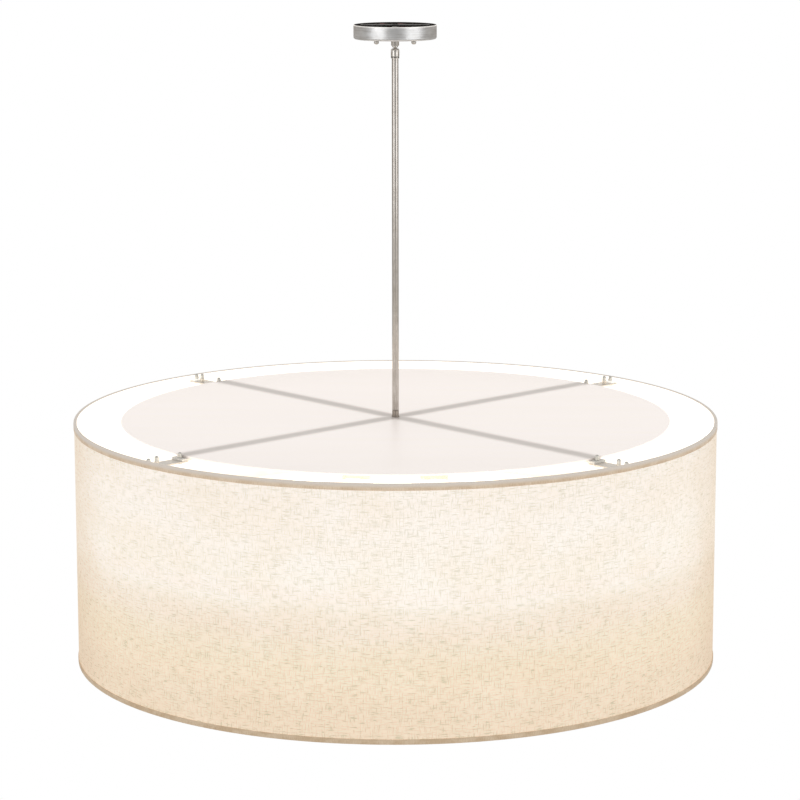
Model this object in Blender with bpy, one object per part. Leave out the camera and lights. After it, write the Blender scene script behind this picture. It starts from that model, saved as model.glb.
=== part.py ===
# Large drum-shade pendant light on a rod with a ball swivel under its ceiling canopy.
# Metres, +Z up. The origin is the centre of the canopy's upper rim, where it meets the ceiling.

import math

import bmesh
import bpy
from mathutils import Matrix, Vector

for old in list(bpy.data.objects):
    bpy.data.objects.remove(old)

mm = 0.001

# Fits shared by all the pieces
gap = 0.3 * mm
thread_gap = 0.15 * mm
turning_gap = 0.25 * mm
overrun = 2 * mm
merge_distance = 0.001 * mm

# Facet counts
drum_facets = 60
canopy_facets = 40
turned_facets = 20
small_facets = 12
stud_facets = 8
arc_steps = 2
ball_steps = 6
shell_steps = 5
cap_steps = 3

# Ceiling canopy, spun from sheet
canopy_diameter = 127 * mm
canopy_height = 21.5 * mm
canopy_wall = 1.2 * mm
canopy_corner = 3 * mm

# Crossbar against the ceiling box, with the two studs that carry the canopy
crossbar_end_clearance = 9.8 * mm
crossbar_width = 25 * mm
crossbar_thickness = 2 * mm
crossbar_corner = 4 * mm
crossbar_centre_hole = 12 * mm
box_slot_end_margin = 8 * mm
box_slot_length = 10 * mm
box_slot_width = 5 * mm
canopy_stud_spacing = 57 * mm
canopy_stud_diameter = 3.2 * mm
canopy_stud_below = 3 * mm
stud_nut_flats = 7 * mm
stud_nut_height = 2.6 * mm
cap_nut_diameter = 7.6 * mm
cap_nut_height = 5 * mm
cap_nut_skirt = 2 * mm
cap_nut_roof = 1.2 * mm
ground_screw_offset = 16 * mm
ground_screw_head = 7 * mm
ground_screw_head_height = 2.4 * mm
ground_screw_shank = 3.4 * mm

# Ball swivel: stud and ball on the ceiling side, liner, seat and barrel round it
nipple_diameter = 9.6 * mm
nipple_rise = 9 * mm
nipple_nut_flats = 14 * mm
nipple_nut_height = 3.2 * mm
nipple_washer_diameter = 18 * mm
nipple_washer_thickness = 1 * mm
collar_flats = 11 * mm
collar_height = 10.4 * mm
neck_length = 8.8 * mm
neck_diameter = 5 * mm
neck_shoulder_above_ball = 6.5 * mm
neck_shoulder_diameter = 9 * mm
neck_shoulder_edge = 0.3 * mm
ball_diameter = 7.6 * mm
swivel_bore = 3.6 * mm
liner_wall = 0.35 * mm
seat_wall = 0.4 * mm
barrel_diameter = 13 * mm
barrel_mouth_diameter = 10 * mm
barrel_mouth_height = 4.6 * mm
barrel_lip = 0.6 * mm
barrel_shoulder_height = 2.6 * mm
barrel_below_ball = 7.9 * mm
barrel_groove = 0.5 * mm
lock_ring_height = 2 * mm
liner_mouth_angle = math.radians(56)
seat_mouth_angle = math.radians(58)
barrel_catch_angle = math.radians(62)
shell_tail_angle = math.radians(140)

# Rod of 1/8 pipe, its end coupling and the threaded stem that goes on down
rod_length = 550 * mm
rod_diameter = 10.29 * mm
rod_bore = 6.88 * mm
rod_top_below_ball = 6.2 * mm
coupling_height = 8.3 * mm
coupling_flange_diameter = 11.7 * mm
coupling_flange_height = 2.5 * mm
stem_diameter = 6.4 * mm
stem_bore = 3.8 * mm
stem_in_rod = 12 * mm
stem_slot_length = 16 * mm
stem_slot_width = 3.4 * mm

# Drum: trims, fabric, liner and the two rings inside it
drum_diameter = 1000 * mm
drum_height = 380 * mm
trim_wall = 0.7 * mm
trim_round = 0.7 * mm
top_trim_drop = 9.3 * mm
bottom_trim_rise = 8 * mm
trim_inner_leg = 5.5 * mm
fabric_thickness = 0.6 * mm
liner_thickness = 0.6 * mm
ring_thickness = 1.5 * mm
ring_height = 12 * mm

# Diffuser discs, the gap that lets light past their edge, and the crossed bars that carry them
light_gap = 67.7 * mm
disc_thickness = 3 * mm
disc_below_rim = 2 * mm
lower_disc_drop = 175 * mm
bar_width = 25.4 * mm
bar_thickness = 3.2 * mm
bar_end_margin = 5.5 * mm
lower_bar_inset = 8 * mm
first_bar_azimuth = math.radians(43)
second_bar_azimuth = math.radians(133)
hub_washer_diameter = 24 * mm
hub_washer_thickness = 1.2 * mm
hub_nut_flats = 12 * mm
hub_nut_height = 4 * mm

# Fixings from the bar ends out to the drum's top ring
edge_stud_diameter = 4 * mm
edge_stud_clear_of_disc = 4.5 * mm
edge_nut_flats = 7 * mm
edge_nut_height = 3 * mm
edge_cap_height = 8 * mm
edge_cap_diameter = 6.4 * mm
edge_cap_hexagon = 3.2 * mm
bracket_width = 24.4 * mm
bracket_thickness = 2.4 * mm
bracket_inner_margin = 13 * mm
bracket_outer_margin = 5 * mm
bracket_corner = 4 * mm
bracket_knob_inset = 25 * mm
bracket_knob_base_diameter = 7 * mm
bracket_knob_base_height = 4.4 * mm
rim_stud_inset = 10 * mm
tab_width = 18 * mm
tab_thickness = 2 * mm
tab_overlap = 0.6 * mm
tab_end_margin = 6 * mm

# Lamp cluster on the stem, with its sockets and lamps
lamp_count = 4
cluster_drop = 65 * mm
cluster_flats = 76 * mm
cluster_height = 40 * mm
cluster_wall = 1.5 * mm
socket_diameter = 34 * mm
socket_length = 45 * mm
socket_bore_depth = 24 * mm
socket_edge = 1.5 * mm
socket_nipple_diameter = 10 * mm
socket_nipple_length = 8 * mm
socket_wire_bore = 5 * mm
socket_nut_flats = 14 * mm
socket_nut_height = 2.6 * mm
lamp_cap_diameter = 26.4 * mm
lamp_cap_contact = 9 * mm
lamp_cap_taper = 4 * mm
lamp_diameter = 60 * mm
lamp_glass_length = 84 * mm
lamp_neck_length = 10 * mm
lamp_neck_diameter = 30 * mm
lamp_shoulder_angle = math.radians(-38)

# Finial that holds the lower diffuser up
finial_flange_diameter = 30 * mm
finial_flange_thickness = 1.6 * mm
finial_neck_height = 4 * mm
finial_diameter = 18 * mm
finial_height = 24 * mm
finial_waist_diameter = 12 * mm
finial_bore_depth = 12 * mm
finial_knob_sweep = math.radians(135)

# Wires inside, and the twist-on connectors that join them
wire_diameter = 1.4 * mm
wire_offset = 0.8 * mm
connector_diameter = 8.8 * mm
connector_tip_diameter = 5.4 * mm
connector_length = 15 * mm
connector_mouth_depth = 5 * mm
connector_mouth_diameter = 6 * mm
connector_row = 41 * mm
connector_drop = 5 * mm
lead_diameter = 2.4 * mm
lead_into_socket = 4 * mm

# Radii and places worked out from the sizes above
canopy_radius = canopy_diameter / 2
crossbar_length = canopy_diameter - 2 * (canopy_wall + crossbar_end_clearance)
box_screw_spacing = crossbar_length - 2 * box_slot_end_margin
ball_radius = ball_diameter / 2
liner_inner = ball_radius + turning_gap
liner_outer = liner_inner + liner_wall
seat_inner = liner_outer + turning_gap
seat_outer = seat_inner + seat_wall
barrel_bore = seat_outer + turning_gap
rod_radius = rod_diameter / 2
stem_radius = stem_diameter / 2
drum_radius = drum_diameter / 2
fabric_outer = drum_radius - trim_wall - gap
liner_skin_outer = fabric_outer - fabric_thickness - gap
ring_outer = liner_skin_outer - liner_thickness - gap
ring_inner = ring_outer - ring_thickness
trim_inner = ring_inner - gap - trim_wall
disc_radius = trim_inner - light_gap

canopy_floor = -canopy_height
collar_top = canopy_floor - gap
collar_bottom = collar_top - collar_height
ball_centre = collar_bottom - neck_length
rod_top = ball_centre - rod_top_below_ball
rod_bottom = rod_top - rod_length
coupling_top = rod_bottom - gap
coupling_bottom = coupling_top - coupling_height - coupling_flange_height
disc_top = coupling_bottom - gap
rim_top = disc_top + disc_below_rim
bar_top = disc_top - disc_thickness - gap
bar_bottom = bar_top - bar_thickness
bracket_top = bar_bottom - gap
bracket_bottom = bracket_top - bracket_thickness
tab_bottom = bracket_top + gap
tab_top = tab_bottom + tab_thickness
shade_top = rim_top - trim_wall - gap
shade_bottom = rim_top - drum_height + trim_wall + gap
edge_stud_radius = disc_radius + edge_stud_clear_of_disc
bar_end = edge_stud_radius + bar_end_margin
rim_stud_place = drum_radius - rim_stud_inset
bracket_knob_place = drum_radius - bracket_knob_inset
bracket_inner_end = edge_stud_radius - bracket_inner_margin
bracket_outer_end = rim_stud_place + bracket_outer_margin
cluster_top = rim_top - cluster_drop
cluster_bottom = cluster_top - cluster_height
cluster_middle = cluster_top - cluster_height / 2
cluster_apothem = cluster_flats / 2
socket_back = cluster_apothem + gap
lower_disc_top = rim_top - lower_disc_drop
lower_bar_top = lower_disc_top - disc_thickness - gap
finial_top = lower_bar_top - bar_thickness - gap
stem_top = rod_bottom + stem_in_rod
stem_bottom = finial_top - finial_bore_depth + gap
slot_azimuth = first_bar_azimuth - math.pi / lamp_count
bar_azimuths = (first_bar_azimuth, second_bar_azimuth)
corner_azimuths = [azimuth + turn for turn in (0, math.pi) for azimuth in bar_azimuths]

# Finishes: base colour, roughness, metallic
finishes = {
    "brushed_nickel": ((0.62, 0.60, 0.57), 0.34, 1.0),
    "dark_nickel": ((0.33, 0.31, 0.28), 0.42, 1.0),
    "zinc_plate": ((0.55, 0.55, 0.54), 0.38, 1.0),
    "black_oxide": ((0.03, 0.03, 0.03), 0.50, 1.0),
    "green_zinc": ((0.05, 0.25, 0.09), 0.45, 0.6),
    "nylon": ((0.78, 0.76, 0.70), 0.45, 0.0),
    "pressed_steel_white": ((0.80, 0.80, 0.78), 0.45, 0.0),
    "satin_steel": ((0.60, 0.56, 0.51), 0.40, 1.0),
    "acrylic": ((0.93, 0.89, 0.86), 0.35, 0.0),
    "linen": ((0.86, 0.78, 0.66), 0.90, 0.0),
    "styrene": ((0.95, 0.93, 0.88), 0.50, 0.0),
    "trim_tape": ((0.56, 0.47, 0.38), 0.80, 0.0),
    "ceramic": ((0.88, 0.87, 0.84), 0.30, 0.0),
    "frosted_glass": ((0.96, 0.95, 0.92), 0.55, 0.0),
    "black_wire": ((0.02, 0.02, 0.02), 0.45, 0.0),
    "white_wire": ((0.80, 0.79, 0.76), 0.45, 0.0),
    "red_connector": ((0.35, 0.03, 0.03), 0.45, 0.0),
}


# Small helpers for making and placing the pieces

def own_material(name, finish):
    colour, roughness, metallic = finishes[finish]
    material = bpy.data.materials.new(name + "_" + finish)
    material.use_nodes = True
    shader = material.node_tree.nodes["Principled BSDF"]
    shader.inputs["Base Color"].default_value = (*colour, 1.0)
    shader.inputs["Roughness"].default_value = roughness
    shader.inputs["Metallic"].default_value = metallic
    return material


def joint_axis(name, height, parent=None):
    axis = bpy.data.objects.new(name, None)
    bpy.context.collection.objects.link(axis)
    axis.parent = parent
    above = parent.matrix_world.translation.z if parent else 0
    axis.location.z = height - above
    bpy.context.view_layer.update()
    return axis


def mesh_of(name, form):
    mesh = bpy.data.meshes.new(name)
    form.to_mesh(mesh)
    form.free()
    return mesh


def finish_mesh(name, mesh, finish):
    mesh.shade_smooth()
    mesh.set_sharp_from_angle(angle=math.radians(35))
    mesh.materials.clear()
    mesh.materials.append(own_material(name, finish))
    return mesh


def place_mesh(name, mesh, height, axis, turn=0, tip=0, across=0):
    piece = bpy.data.objects.new(name, mesh)
    bpy.context.collection.objects.link(piece)
    piece.parent = axis
    piece.location = (across, 0, height - axis.matrix_world.translation.z)
    piece.rotation_euler = (0, tip, turn)
    return piece


def add_piece(name, form, finish, height, axis, turn=0):
    mesh = finish_mesh(name, mesh_of(name, form), finish)
    return place_mesh(name, mesh, height, axis, turn)


def add_guide(name, form, height, axis, turn=0):
    guide = place_mesh(name, mesh_of(name, form), height, axis, turn)
    guide.hide_render = True
    guide.display_type = "WIRE"
    return guide


def combine(piece, guide, operation):
    step = piece.modifiers.new(guide.name, "BOOLEAN")
    step.operation = operation
    step.object = guide


def shared_mesh(name, form, finish, joined=(), cut=()):
    # One mesh for several copies, with its joined and cut forms already worked in
    blank = bpy.data.objects.new(name, mesh_of(name, form))
    helpers = [blank]
    bpy.context.collection.objects.link(blank)
    for others, operation in ((joined, "UNION"), (cut, "DIFFERENCE")):
        for other in others:
            helper = bpy.data.objects.new(name + "_helper", mesh_of(name + "_helper", other))
            bpy.context.collection.objects.link(helper)
            helpers.append(helper)
            combine(blank, helper, operation)
    view = bpy.context.evaluated_depsgraph_get()
    mesh = bpy.data.meshes.new_from_object(blank.evaluated_get(view))
    mesh.name = name
    for helper in helpers:
        bpy.data.objects.remove(helper)
    return finish_mesh(name, mesh, finish)


def lathe(profile, facets):
    form = bmesh.new()
    points = [form.verts.new((radius, 0, height)) for radius, height in profile]
    edges = [form.edges.new(pair) for pair in zip(points, points[1:])]
    on_axis = profile[0][0] == 0 and profile[-1][0] == 0
    if not on_axis:
        edges.append(form.edges.new((points[-1], points[0])))
    bmesh.ops.spin(form, geom=points + edges, cent=(0, 0, 0), axis=(0, 0, 1),
                   angle=math.tau, steps=facets, use_merge=True)
    bmesh.ops.remove_doubles(form, verts=form.verts, dist=merge_distance)
    bmesh.ops.recalc_face_normals(form, faces=form.faces)
    return form


def tube(outer, inner, low, high, facets):
    return lathe([(outer, low), (outer, high), (inner, high), (inner, low)], facets)


def rod_of(radius, low, high, facets):
    return lathe([(0, low), (radius, low), (radius, high), (0, high)], facets)


def prism(outline, low, high):
    form = bmesh.new()
    face = form.faces.new([form.verts.new((x, y, low)) for x, y in outline])
    raised = bmesh.ops.extrude_face_region(form, geom=[face])
    tops = [item for item in raised["geom"] if isinstance(item, bmesh.types.BMVert)]
    bmesh.ops.translate(form, verts=tops, vec=(0, 0, high - low))
    bmesh.ops.recalc_face_normals(form, faces=form.faces)
    return form


def hexagon(flats, low, high):
    return rod_of(flats / 2 / math.cos(math.pi / 6), low, high, 6)


def nut(flats, bore, low, high):
    # A hexagon with a round bore: twelve points a side, bridged and then raised
    form = bmesh.new()
    apothem = flats / 2
    bore_corner = bore / math.cos(math.pi / 12)
    rims = ([], [])
    for point in range(12):
        angle = math.tau * point / 12
        reach = apothem if point % 2 else apothem / math.cos(math.pi / 6)
        for rim, radius in zip(rims, (reach, bore_corner)):
            rim.append(form.verts.new((radius * math.cos(angle), radius * math.sin(angle), low)))
    edges = []
    for rim in rims:
        edges += [form.edges.new((rim[point - 1], rim[point])) for point in range(12)]
    ring = bmesh.ops.bridge_loops(form, edges=edges)["faces"]
    raised = bmesh.ops.extrude_face_region(form, geom=ring)
    tops = [item for item in raised["geom"] if isinstance(item, bmesh.types.BMVert)]
    bmesh.ops.translate(form, verts=tops, vec=(0, 0, high - low))
    bmesh.ops.recalc_face_normals(form, faces=form.faces)
    return form


def arc(centre, radius, start, end, steps):
    angles = [start + (end - start) * step / steps for step in range(steps + 1)]
    return [(centre[0] + radius * math.cos(angle), centre[1] + radius * math.sin(angle))
            for angle in angles]


def oblong(left, right, width):
    return [(left, -width / 2), (right, -width / 2), (right, width / 2), (left, width / 2)]


def rounded_bar(length, width, corner):
    corners = ((1, 1, 0), (-1, 1, 1), (-1, -1, 2), (1, -1, 3))
    outline = []
    for side, up, quarter in corners:
        centre = (side * (length / 2 - corner), up * (width / 2 - corner))
        start = quarter * math.pi / 2
        outline += arc(centre, corner, start, start + math.pi / 2, arc_steps)
    return outline


def repeat(form, places):
    group = bmesh.new()
    for place in places:
        copy = form.copy()
        copy.transform(place)
        mesh = mesh_of("copy", copy)
        group.from_mesh(mesh)
        bpy.data.meshes.remove(mesh)
    form.free()
    return group


def shift(x=0, y=0, z=0):
    return Matrix.Translation((x, y, z))


def spin_to(azimuth):
    return Matrix.Rotation(azimuth, 4, "Z")


def pair_along_x(spacing):
    return [shift(x=-spacing / 2), shift(x=spacing / 2)]


def ring_places(radius, azimuths):
    return [spin_to(azimuth) @ shift(x=radius) for azimuth in azimuths]


def smooth_route(points, steps):
    # A Catmull-Rom curve through the points chosen along the wire's way
    ends = [points[0] * 2 - points[1], *points, points[-1] * 2 - points[-2]]
    route = []
    for before, start, end, after in zip(ends, ends[1:], ends[2:], ends[3:]):
        for step in range(steps):
            t = step / steps
            route.append(0.5 * (2 * start + (end - before) * t
                                + (2 * before - 5 * start + 4 * end - after) * t ** 2
                                + (3 * start - before - 3 * end + after) * t ** 3))
    route.append(points[-1])
    return route


def add_wire(name, route, diameter, finish, axis):
    curve = bpy.data.curves.new(name, "CURVE")
    curve.dimensions = "3D"
    curve.bevel_depth = diameter / 2
    curve.bevel_resolution = 1
    curve.use_fill_caps = True
    origin = axis.matrix_world.translation
    points = smooth_route([Vector(point) for point in route], arc_steps)
    spline = curve.splines.new("POLY")
    spline.points.add(len(points) - 1)
    for place, point in zip(spline.points, points):
        place.co = (*(point - origin), 1)
    curve.materials.append(own_material(name, finish))
    wire = bpy.data.objects.new(name, curve)
    bpy.context.collection.objects.link(wire)
    wire.parent = axis
    return wire


# Joint axes, from the ceiling down
ceiling = joint_axis("ceiling_frame", 0)
tilt_x_axis = joint_axis("tilt_x_axis", ball_centre, ceiling)
tilt_y_axis = joint_axis("tilt_y_axis", ball_centre, tilt_x_axis)
turn_axis = joint_axis("turn_axis", ball_centre, tilt_y_axis)
drop_axis = joint_axis("diffuser_drop_axis", lower_disc_top, turn_axis)


# Ceiling canopy and what holds it

def make_canopy():
    floor_hole = nipple_diameter / 2 + gap
    bend = canopy_radius - canopy_corner
    rise = -canopy_height + canopy_corner
    outer = arc((bend, rise), canopy_corner, 0, -math.pi / 2, arc_steps)
    inner = arc((bend, rise), canopy_corner - canopy_wall, -math.pi / 2, 0, arc_steps)
    profile = [(canopy_radius, 0), *outer, (floor_hole, -canopy_height),
               (floor_hole, -canopy_height + canopy_wall), *inner, (canopy_radius - canopy_wall, 0)]
    canopy = add_piece("canopy", lathe(profile, canopy_facets), "brushed_nickel", 0, ceiling)
    drill = rod_of(canopy_stud_diameter / 2 + gap, -canopy_height - overrun,
                   -canopy_height + canopy_wall + overrun, small_facets)
    holes = repeat(drill, pair_along_x(canopy_stud_spacing))
    combine(canopy, add_guide("canopy_stud_holes", holes, 0, ceiling), "DIFFERENCE")


def make_crossbar():
    outline = rounded_bar(crossbar_length, crossbar_width, crossbar_corner)
    bar = add_piece("crossbar", prism(outline, -crossbar_thickness, 0), "black_oxide", 0, ceiling)
    low, high = -crossbar_thickness - overrun, overrun
    centre = rod_of(crossbar_centre_hole / 2, low, high, turned_facets)
    combine(bar, add_guide("crossbar_centre_hole", centre, 0, ceiling), "DIFFERENCE")
    slot = prism(rounded_bar(box_slot_length, box_slot_width, box_slot_width / 2 - merge_distance),
                 low, high)
    slots = repeat(slot, pair_along_x(box_screw_spacing))
    combine(bar, add_guide("box_screw_slots", slots, 0, ceiling), "DIFFERENCE")
    tapped = rod_of(canopy_stud_diameter / 2 + thread_gap, low, high, stud_facets)
    threads = repeat(tapped, pair_along_x(canopy_stud_spacing))
    combine(bar, add_guide("crossbar_threads", threads, 0, ceiling), "DIFFERENCE")
    earth = rod_of(ground_screw_shank / 2 + thread_gap, low, high, stud_facets)
    earth.transform(shift(x=-ground_screw_offset))
    combine(bar, add_guide("ground_screw_thread", earth, 0, ceiling), "DIFFERENCE")


def make_canopy_fixings():
    nut_top = -crossbar_thickness - gap
    stud = rod_of(canopy_stud_diameter / 2, -canopy_height - canopy_stud_below, -gap, stud_facets)
    lock = hexagon(stud_nut_flats, nut_top - stud_nut_height, nut_top)
    stud = shared_mesh("canopy_stud", stud, "zinc_plate", joined=[lock])
    radius = cap_nut_diameter / 2
    bore = canopy_stud_diameter / 2 + thread_gap
    dome = cap_nut_height - cap_nut_skirt
    crown = [(radius * math.sin(turn), -cap_nut_skirt - dome * math.cos(turn))
             for turn in (math.pi / 2 * step / 4 for step in range(1, 5))]
    pocket = -cap_nut_height + cap_nut_roof
    profile = [(0, -cap_nut_height), *crown, (radius, 0), (bore, 0), (bore, pocket), (0, pocket)]
    cap = shared_mesh("canopy_cap_nut", lathe(profile, small_facets), "dark_nickel")
    for side, across in (("left", -canopy_stud_spacing / 2), ("right", canopy_stud_spacing / 2)):
        place_mesh("canopy_stud_" + side, stud, 0, ceiling, across=across)
        place_mesh("canopy_cap_nut_" + side, cap, -canopy_height - gap, ceiling, across=across)


def make_ground_screw():
    head_low = -crossbar_thickness - gap - ground_screw_head_height
    profile = [(0, head_low), (ground_screw_head / 2, head_low),
               (ground_screw_head / 2, head_low + ground_screw_head_height),
               (ground_screw_shank / 2, head_low + ground_screw_head_height),
               (ground_screw_shank / 2, -gap), (0, -gap)]
    screw = shared_mesh("ground_screw", lathe(profile, stud_facets), "green_zinc")
    place_mesh("ground_screw", screw, 0, ceiling, across=-ground_screw_offset)


# Ball swivel

def shell(inner, outer, mouth, tail):
    # A hollow ball between two radii, open above the mouth angle and below the tail angle
    angles = [mouth + (tail - mouth) * step / shell_steps for step in range(shell_steps + 1)]
    outside = [(outer * math.sin(angle), outer * math.cos(angle)) for angle in angles]
    inside = [(inner * math.sin(angle), inner * math.cos(angle)) for angle in reversed(angles)]
    return lathe(outside + inside, turned_facets)


def make_swivel_stud():
    bore = swivel_bore / 2
    neck = neck_diameter / 2
    lowest = math.pi - math.asin(bore / ball_radius)
    highest = math.asin(neck / ball_radius)
    angles = [lowest + (highest - lowest) * step / ball_steps for step in range(ball_steps + 1)]
    ball = [(ball_radius * math.sin(angle), ball_radius * math.cos(angle)) for angle in angles]
    nipple_top = canopy_floor + canopy_wall + nipple_rise - ball_centre
    shoulder = neck_shoulder_diameter / 2
    edge_top = neck_shoulder_above_ball + neck_shoulder_edge
    profile = [*ball, (neck, neck_shoulder_above_ball),
               (shoulder - neck_shoulder_edge, neck_shoulder_above_ball), (shoulder, edge_top),
               (shoulder, neck_length), (nipple_diameter / 2, neck_length),
               (nipple_diameter / 2, nipple_top), (bore, nipple_top)]
    add_piece("swivel_ball_stud", lathe(profile, turned_facets), "brushed_nickel",
              ball_centre, ceiling)


def make_swivel_collar():
    bore = nipple_diameter / 2 + thread_gap
    add_piece("swivel_hex_collar", nut(collar_flats, bore, 0, collar_height), "brushed_nickel",
              collar_bottom, ceiling, math.pi / 6)
    washer_low = canopy_floor + canopy_wall + gap
    washer_high = washer_low + nipple_washer_thickness
    washer = tube(nipple_washer_diameter / 2, nipple_diameter / 2 + gap, washer_low, washer_high,
                  turned_facets)
    add_piece("nipple_washer", washer, "zinc_plate", 0, ceiling)
    nut_low = washer_high + gap
    add_piece("nipple_locknut", nut(nipple_nut_flats, bore, nut_low, nut_low + nipple_nut_height),
              "zinc_plate", 0, ceiling)


def make_swivel_shells():
    liner = shell(liner_inner, liner_outer, liner_mouth_angle, shell_tail_angle)
    add_piece("swivel_liner", liner, "nylon", ball_centre, tilt_x_axis)
    seat = shell(seat_inner, seat_outer, seat_mouth_angle, shell_tail_angle)
    add_piece("swivel_seat", seat, "dark_nickel", ball_centre, tilt_y_axis)


def make_barrel():
    steps = 3
    catch = [barrel_catch_angle + (math.pi / 2 - barrel_catch_angle) * step / steps
             for step in range(steps + 1)]
    cup = [(barrel_bore * math.sin(angle), barrel_bore * math.cos(angle)) for angle in catch]
    radius = barrel_diameter / 2
    mouth = barrel_mouth_diameter / 2
    profile = [*cup, (barrel_bore, -barrel_below_ball),
               (radius - barrel_groove, -barrel_below_ball), (radius, -barrel_below_ball + barrel_groove),
               (radius, barrel_shoulder_height), (mouth + barrel_lip, barrel_mouth_height),
               (mouth, barrel_mouth_height)]
    add_piece("swivel_barrel", lathe(profile, turned_facets), "brushed_nickel",
              ball_centre, turn_axis)
    ring_high = -barrel_below_ball - gap
    ring_low = ring_high - lock_ring_height
    inside = rod_radius + thread_gap
    ring = lathe([(inside, ring_low), (radius - barrel_groove, ring_low),
                  (radius, ring_low + barrel_groove), (radius, ring_high - barrel_groove),
                  (radius - barrel_groove, ring_high), (inside, ring_high)], turned_facets)
    add_piece("swivel_lock_ring", ring, "brushed_nickel", ball_centre, turn_axis)


# Rod, coupling and stem

def make_rod():
    rod = tube(rod_radius, rod_bore / 2, 0, rod_length, turned_facets)
    add_piece("rod", rod, "brushed_nickel", rod_bottom, turn_axis)
    bore = stem_radius + thread_gap
    flange = coupling_flange_diameter / 2
    height = coupling_flange_height + coupling_height
    coupling = lathe([(bore, 0), (flange, 0), (flange, coupling_flange_height),
                      (rod_radius, coupling_flange_height), (rod_radius, height), (bore, height)],
                     turned_facets)
    add_piece("rod_coupling", coupling, "dark_nickel", coupling_bottom, turn_axis)


def make_stem():
    # The three locknuts that clamp the lamp cluster are part of the stem that carries them
    length = stem_top - stem_bottom
    tube_form = tube(stem_radius, stem_bore / 2, 0, length, small_facets)
    stem = add_piece("threaded_stem", tube_form, "zinc_plate", stem_bottom, turn_axis)
    in_wall = (stem_radius + stem_bore / 2) / 2
    lock = nut(hub_nut_flats, in_wall, 0, hub_nut_height)
    over_roof = cluster_top + gap
    under_roof = cluster_top - cluster_wall - gap - hub_nut_height
    under_cover = cluster_bottom - gap - cluster_wall - gap - hub_nut_height
    heights = [place - stem_bottom for place in (over_roof, under_roof, under_cover)]
    nuts = repeat(lock, [shift(z=height) for height in heights])
    combine(stem, add_guide("cluster_locknuts", nuts, stem_bottom, turn_axis), "UNION")
    low = cluster_middle - stem_slot_length / 2 - stem_bottom
    slot = prism(oblong(0, stem_diameter, stem_slot_width), low, low + stem_slot_length)
    slot_guide = add_guide("stem_wire_slot", slot, stem_bottom, turn_axis, slot_azimuth)
    combine(stem, slot_guide, "DIFFERENCE")


# Diffuser discs and their crossed bars

def disc_form():
    hole = stem_radius + gap
    return tube(disc_radius, hole, -disc_thickness, 0, drum_facets)


def crossed_bar(name, reach, top, azimuth, halved_from_above, end_holes, axis):
    strap = prism(oblong(-reach, reach, bar_width), -bar_thickness, 0)
    bar = add_piece(name, strap, "pressed_steel_white", top, axis, azimuth)
    half = bar_thickness / 2
    notch_low = -half - gap / 2 if halved_from_above else -bar_thickness - overrun
    notch_high = overrun if halved_from_above else -half + gap / 2
    notch_reach = bar_width / 2 + gap
    notch = prism(oblong(-notch_reach, notch_reach, 2 * bar_width), notch_low, notch_high)
    combine(bar, add_guide(name + "_halving", notch, top, axis, azimuth), "DIFFERENCE")
    low, high = -bar_thickness - overrun, overrun
    centre = rod_of(stem_radius + gap, low, high, small_facets)
    combine(bar, add_guide(name + "_stem_hole", centre, top, axis, azimuth), "DIFFERENCE")
    if end_holes:
        drill = rod_of(edge_stud_diameter / 2 + gap, low, high, stud_facets)
        holes = repeat(drill, pair_along_x(2 * edge_stud_radius))
        combine(bar, add_guide(name + "_end_holes", holes, top, axis, azimuth), "DIFFERENCE")


def make_upper_diffuser():
    add_piece("upper_diffuser", disc_form(), "acrylic", disc_top, turn_axis)
    crossed_bar("upper_bar_first", bar_end, bar_top, first_bar_azimuth, True, True, turn_axis)
    crossed_bar("upper_bar_second", bar_end, bar_top, second_bar_azimuth, False, True, turn_axis)
    washer_top = bar_bottom - gap
    washer = tube(hub_washer_diameter / 2, stem_radius + gap, -hub_washer_thickness, 0, turned_facets)
    add_piece("hub_washer", washer, "zinc_plate", washer_top, turn_axis)
    nut_top = washer_top - hub_washer_thickness - gap
    lock = nut(hub_nut_flats, stem_radius + thread_gap, -hub_nut_height, 0)
    add_piece("hub_locknut", lock, "zinc_plate", nut_top, turn_axis)


def make_lower_diffuser():
    reach = disc_radius - lower_bar_inset
    add_piece("lower_diffuser", disc_form(), "acrylic", lower_disc_top, drop_axis)
    crossed_bar("lower_bar_first", reach, lower_bar_top, first_bar_azimuth, True, False, drop_axis)
    crossed_bar("lower_bar_second", reach, lower_bar_top, second_bar_azimuth, False, False, drop_axis)
    radius = finial_diameter / 2
    waist = finial_waist_diameter / 2
    flange = finial_flange_diameter / 2
    bore = stem_radius + thread_gap
    knob_centre = -finial_height + radius
    knob = [(radius * math.sin(turn), knob_centre - radius * math.cos(turn))
            for turn in (finial_knob_sweep * step / ball_steps for step in range(1, ball_steps + 1))]
    profile = [(0, -finial_height), *knob, (waist, -finial_neck_height),
               (flange, -finial_flange_thickness), (flange, 0), (bore, 0),
               (bore, -finial_bore_depth), (0, -finial_bore_depth)]
    add_piece("finial", lathe(profile, turned_facets), "brushed_nickel", finial_top, drop_axis)


# Drum shade

def trim_profile(outer_leg, inner_leg):
    # A folded edging, open downwards, with its outer edge rounded off
    return [(drum_radius, -outer_leg), (drum_radius, -trim_round), (drum_radius - trim_round, 0),
            (trim_inner, 0), (trim_inner, -inner_leg),
            (trim_inner + trim_wall, -inner_leg), (trim_inner + trim_wall, -trim_wall),
            (drum_radius - trim_wall, -trim_wall), (drum_radius - trim_wall, -outer_leg)]


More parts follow.
